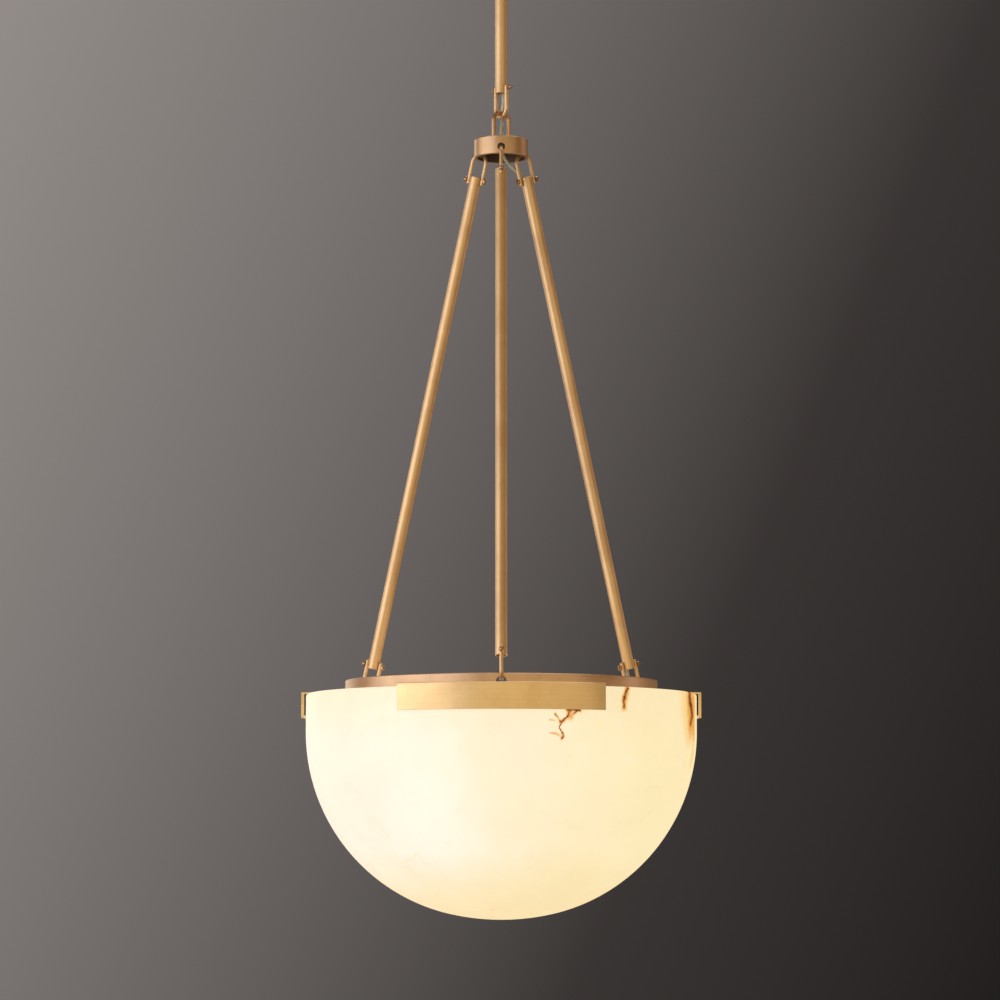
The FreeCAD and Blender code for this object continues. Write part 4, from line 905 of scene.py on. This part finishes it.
block_screw = socket_screw(0.0009, 0.0006, 0.00135, 0.0009, 0.0004)
block_places = [((-0.01518, pole * 0.02 / 3, -0.0036), (0, 0, 1)) for pole in (-1, 0, 1)]
block_screws = turned("terminal_screws", block_screw, block_places, "nickel_cap")
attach(block_screws, "ceiling_mount")


# ---------------------------------------------------------------- floor, light, world
def plain(name, colour, rough):
    g = Graph(name)
    fine = g.noise(g.place, 6.0, 4.0, 0.6)
    g.set("Base Color", g.mix(g.ease(fine, 0.35, 0.7), colour, tuple(c * 0.96 for c in colour)))
    g.set("Roughness", rough)
    return g.material


FLOOR_Z = -2.4
FLOOR_HALF = 5.0
floor_mesh = bpy.data.meshes.new("studio_floor")
corners = [
    (x * FLOOR_HALF, y * FLOOR_HALF, FLOOR_Z) for x, y in ((-1, -1), (1, -1), (1, 1), (-1, 1))
]
floor_mesh.from_pydata(corners, [], [(0, 1, 2, 3)])
floor_mesh.materials.append(plain("pale_floor", (0.62, 0.61, 0.59, 1), 0.8))
floor = bpy.data.objects.new("studio_floor", floor_mesh)
bpy.context.collection.objects.link(floor)


def softbox(name, place, target, width, height, power, colour):
    data = bpy.data.lights.new(name, "AREA")
    data.shape = "RECTANGLE"
    data.size = width
    data.size_y = height
    data.energy = power
    data.color = colour
    lamp = bpy.data.objects.new(name, data)
    lamp.location = place
    lamp.rotation_euler = (Vector(target) - Vector(place)).to_track_quat("-Z", "Y").to_euler()
    bpy.context.collection.objects.link(lamp)


MIDDLE = (0, 0, -0.55)
softbox("key", (-2.8, -2.45, -0.3), MIDDLE, 3.3, 3.6, 58, (0.98, 0.985, 1.0))
softbox("left_edge", (-3.7, -0.1, -0.4), MIDDLE, 2.2, 3.4, 34, (1.0, 0.985, 0.96))
softbox("front", (0.5, -5.2, -0.2), MIDDLE, 4.4, 3.0, 35, (1.0, 0.86, 0.55))
softbox("front_right", (3.5, -3.5, -0.2), MIDDLE, 3.0, 3.0, 19, (1.0, 0.85, 0.55))
softbox("back", (-2.2, 3.6, 0.2), MIDDLE, 2.2, 2.2, 16, (1.0, 0.90, 0.76))
softbox("right_edge", (3.4, 1.2, -0.4), MIDDLE, 1.2, 2.4, 8, (1.0, 0.80, 0.62))
softbox("above", (0.2, 0.4, 1.8), MIDDLE, 2.0, 2.0, 20, (1.0, 0.95, 0.88))

world = bpy.data.worlds.new("studio")
world.use_nodes = True
bpy.context.scene.world = world
tree = world.node_tree
tree.nodes.clear()
out = tree.nodes.new("ShaderNodeOutputWorld")
mixer = tree.nodes.new("ShaderNodeMixShader")
rays = tree.nodes.new("ShaderNodeLightPath")
surround = tree.nodes.new("ShaderNodeBackground")
surround.inputs[0].default_value = (0.185, 0.118, 0.066, 1)
# the backdrop that the camera sees has painted light and shade: lightest at the upper left, falling
# to near black at the lower right
backdrop = tree.nodes.new("ShaderNodeBackground")
heading = tree.nodes.new("ShaderNodeTexCoord")
slope = tree.nodes.new("ShaderNodeVectorMath")
slope.operation = "DOT_PRODUCT"
slope.inputs[1].default_value = (-0.92, 0.0, 0.39)
shade = tree.nodes.new("ShaderNodeValToRGB")
stops = shade.color_ramp.elements
stops[0].color = (0.016, 0.014, 0.013, 1)
stops[1].color = (0.290, 0.262, 0.250, 1)
stops.new(0.3).color = (0.042, 0.036, 0.034, 1)
stops.new(0.7).color = (0.185, 0.168, 0.160, 1)
spread = tree.nodes.new("ShaderNodeMapRange")
spread.inputs[1].default_value = -0.132
spread.inputs[2].default_value = 0.21
tree.links.new(heading.outputs["Generated"], slope.inputs[0])
tree.links.new(slope.outputs["Value"], spread.inputs[0])
tree.links.new(spread.outputs[0], shade.inputs[0])
tree.links.new(shade.outputs[0], backdrop.inputs[0])
tree.links.new(rays.outputs["Is Camera Ray"], mixer.inputs[0])
tree.links.new(surround.outputs[0], mixer.inputs[1])
tree.links.new(backdrop.outputs[0], mixer.inputs[2])
tree.links.new(mixer.outputs[0], out.inputs[0])
bpy.context.scene.view_settings.view_transform = "Standard"
bpy.context.scene.view_settings.look = "None"
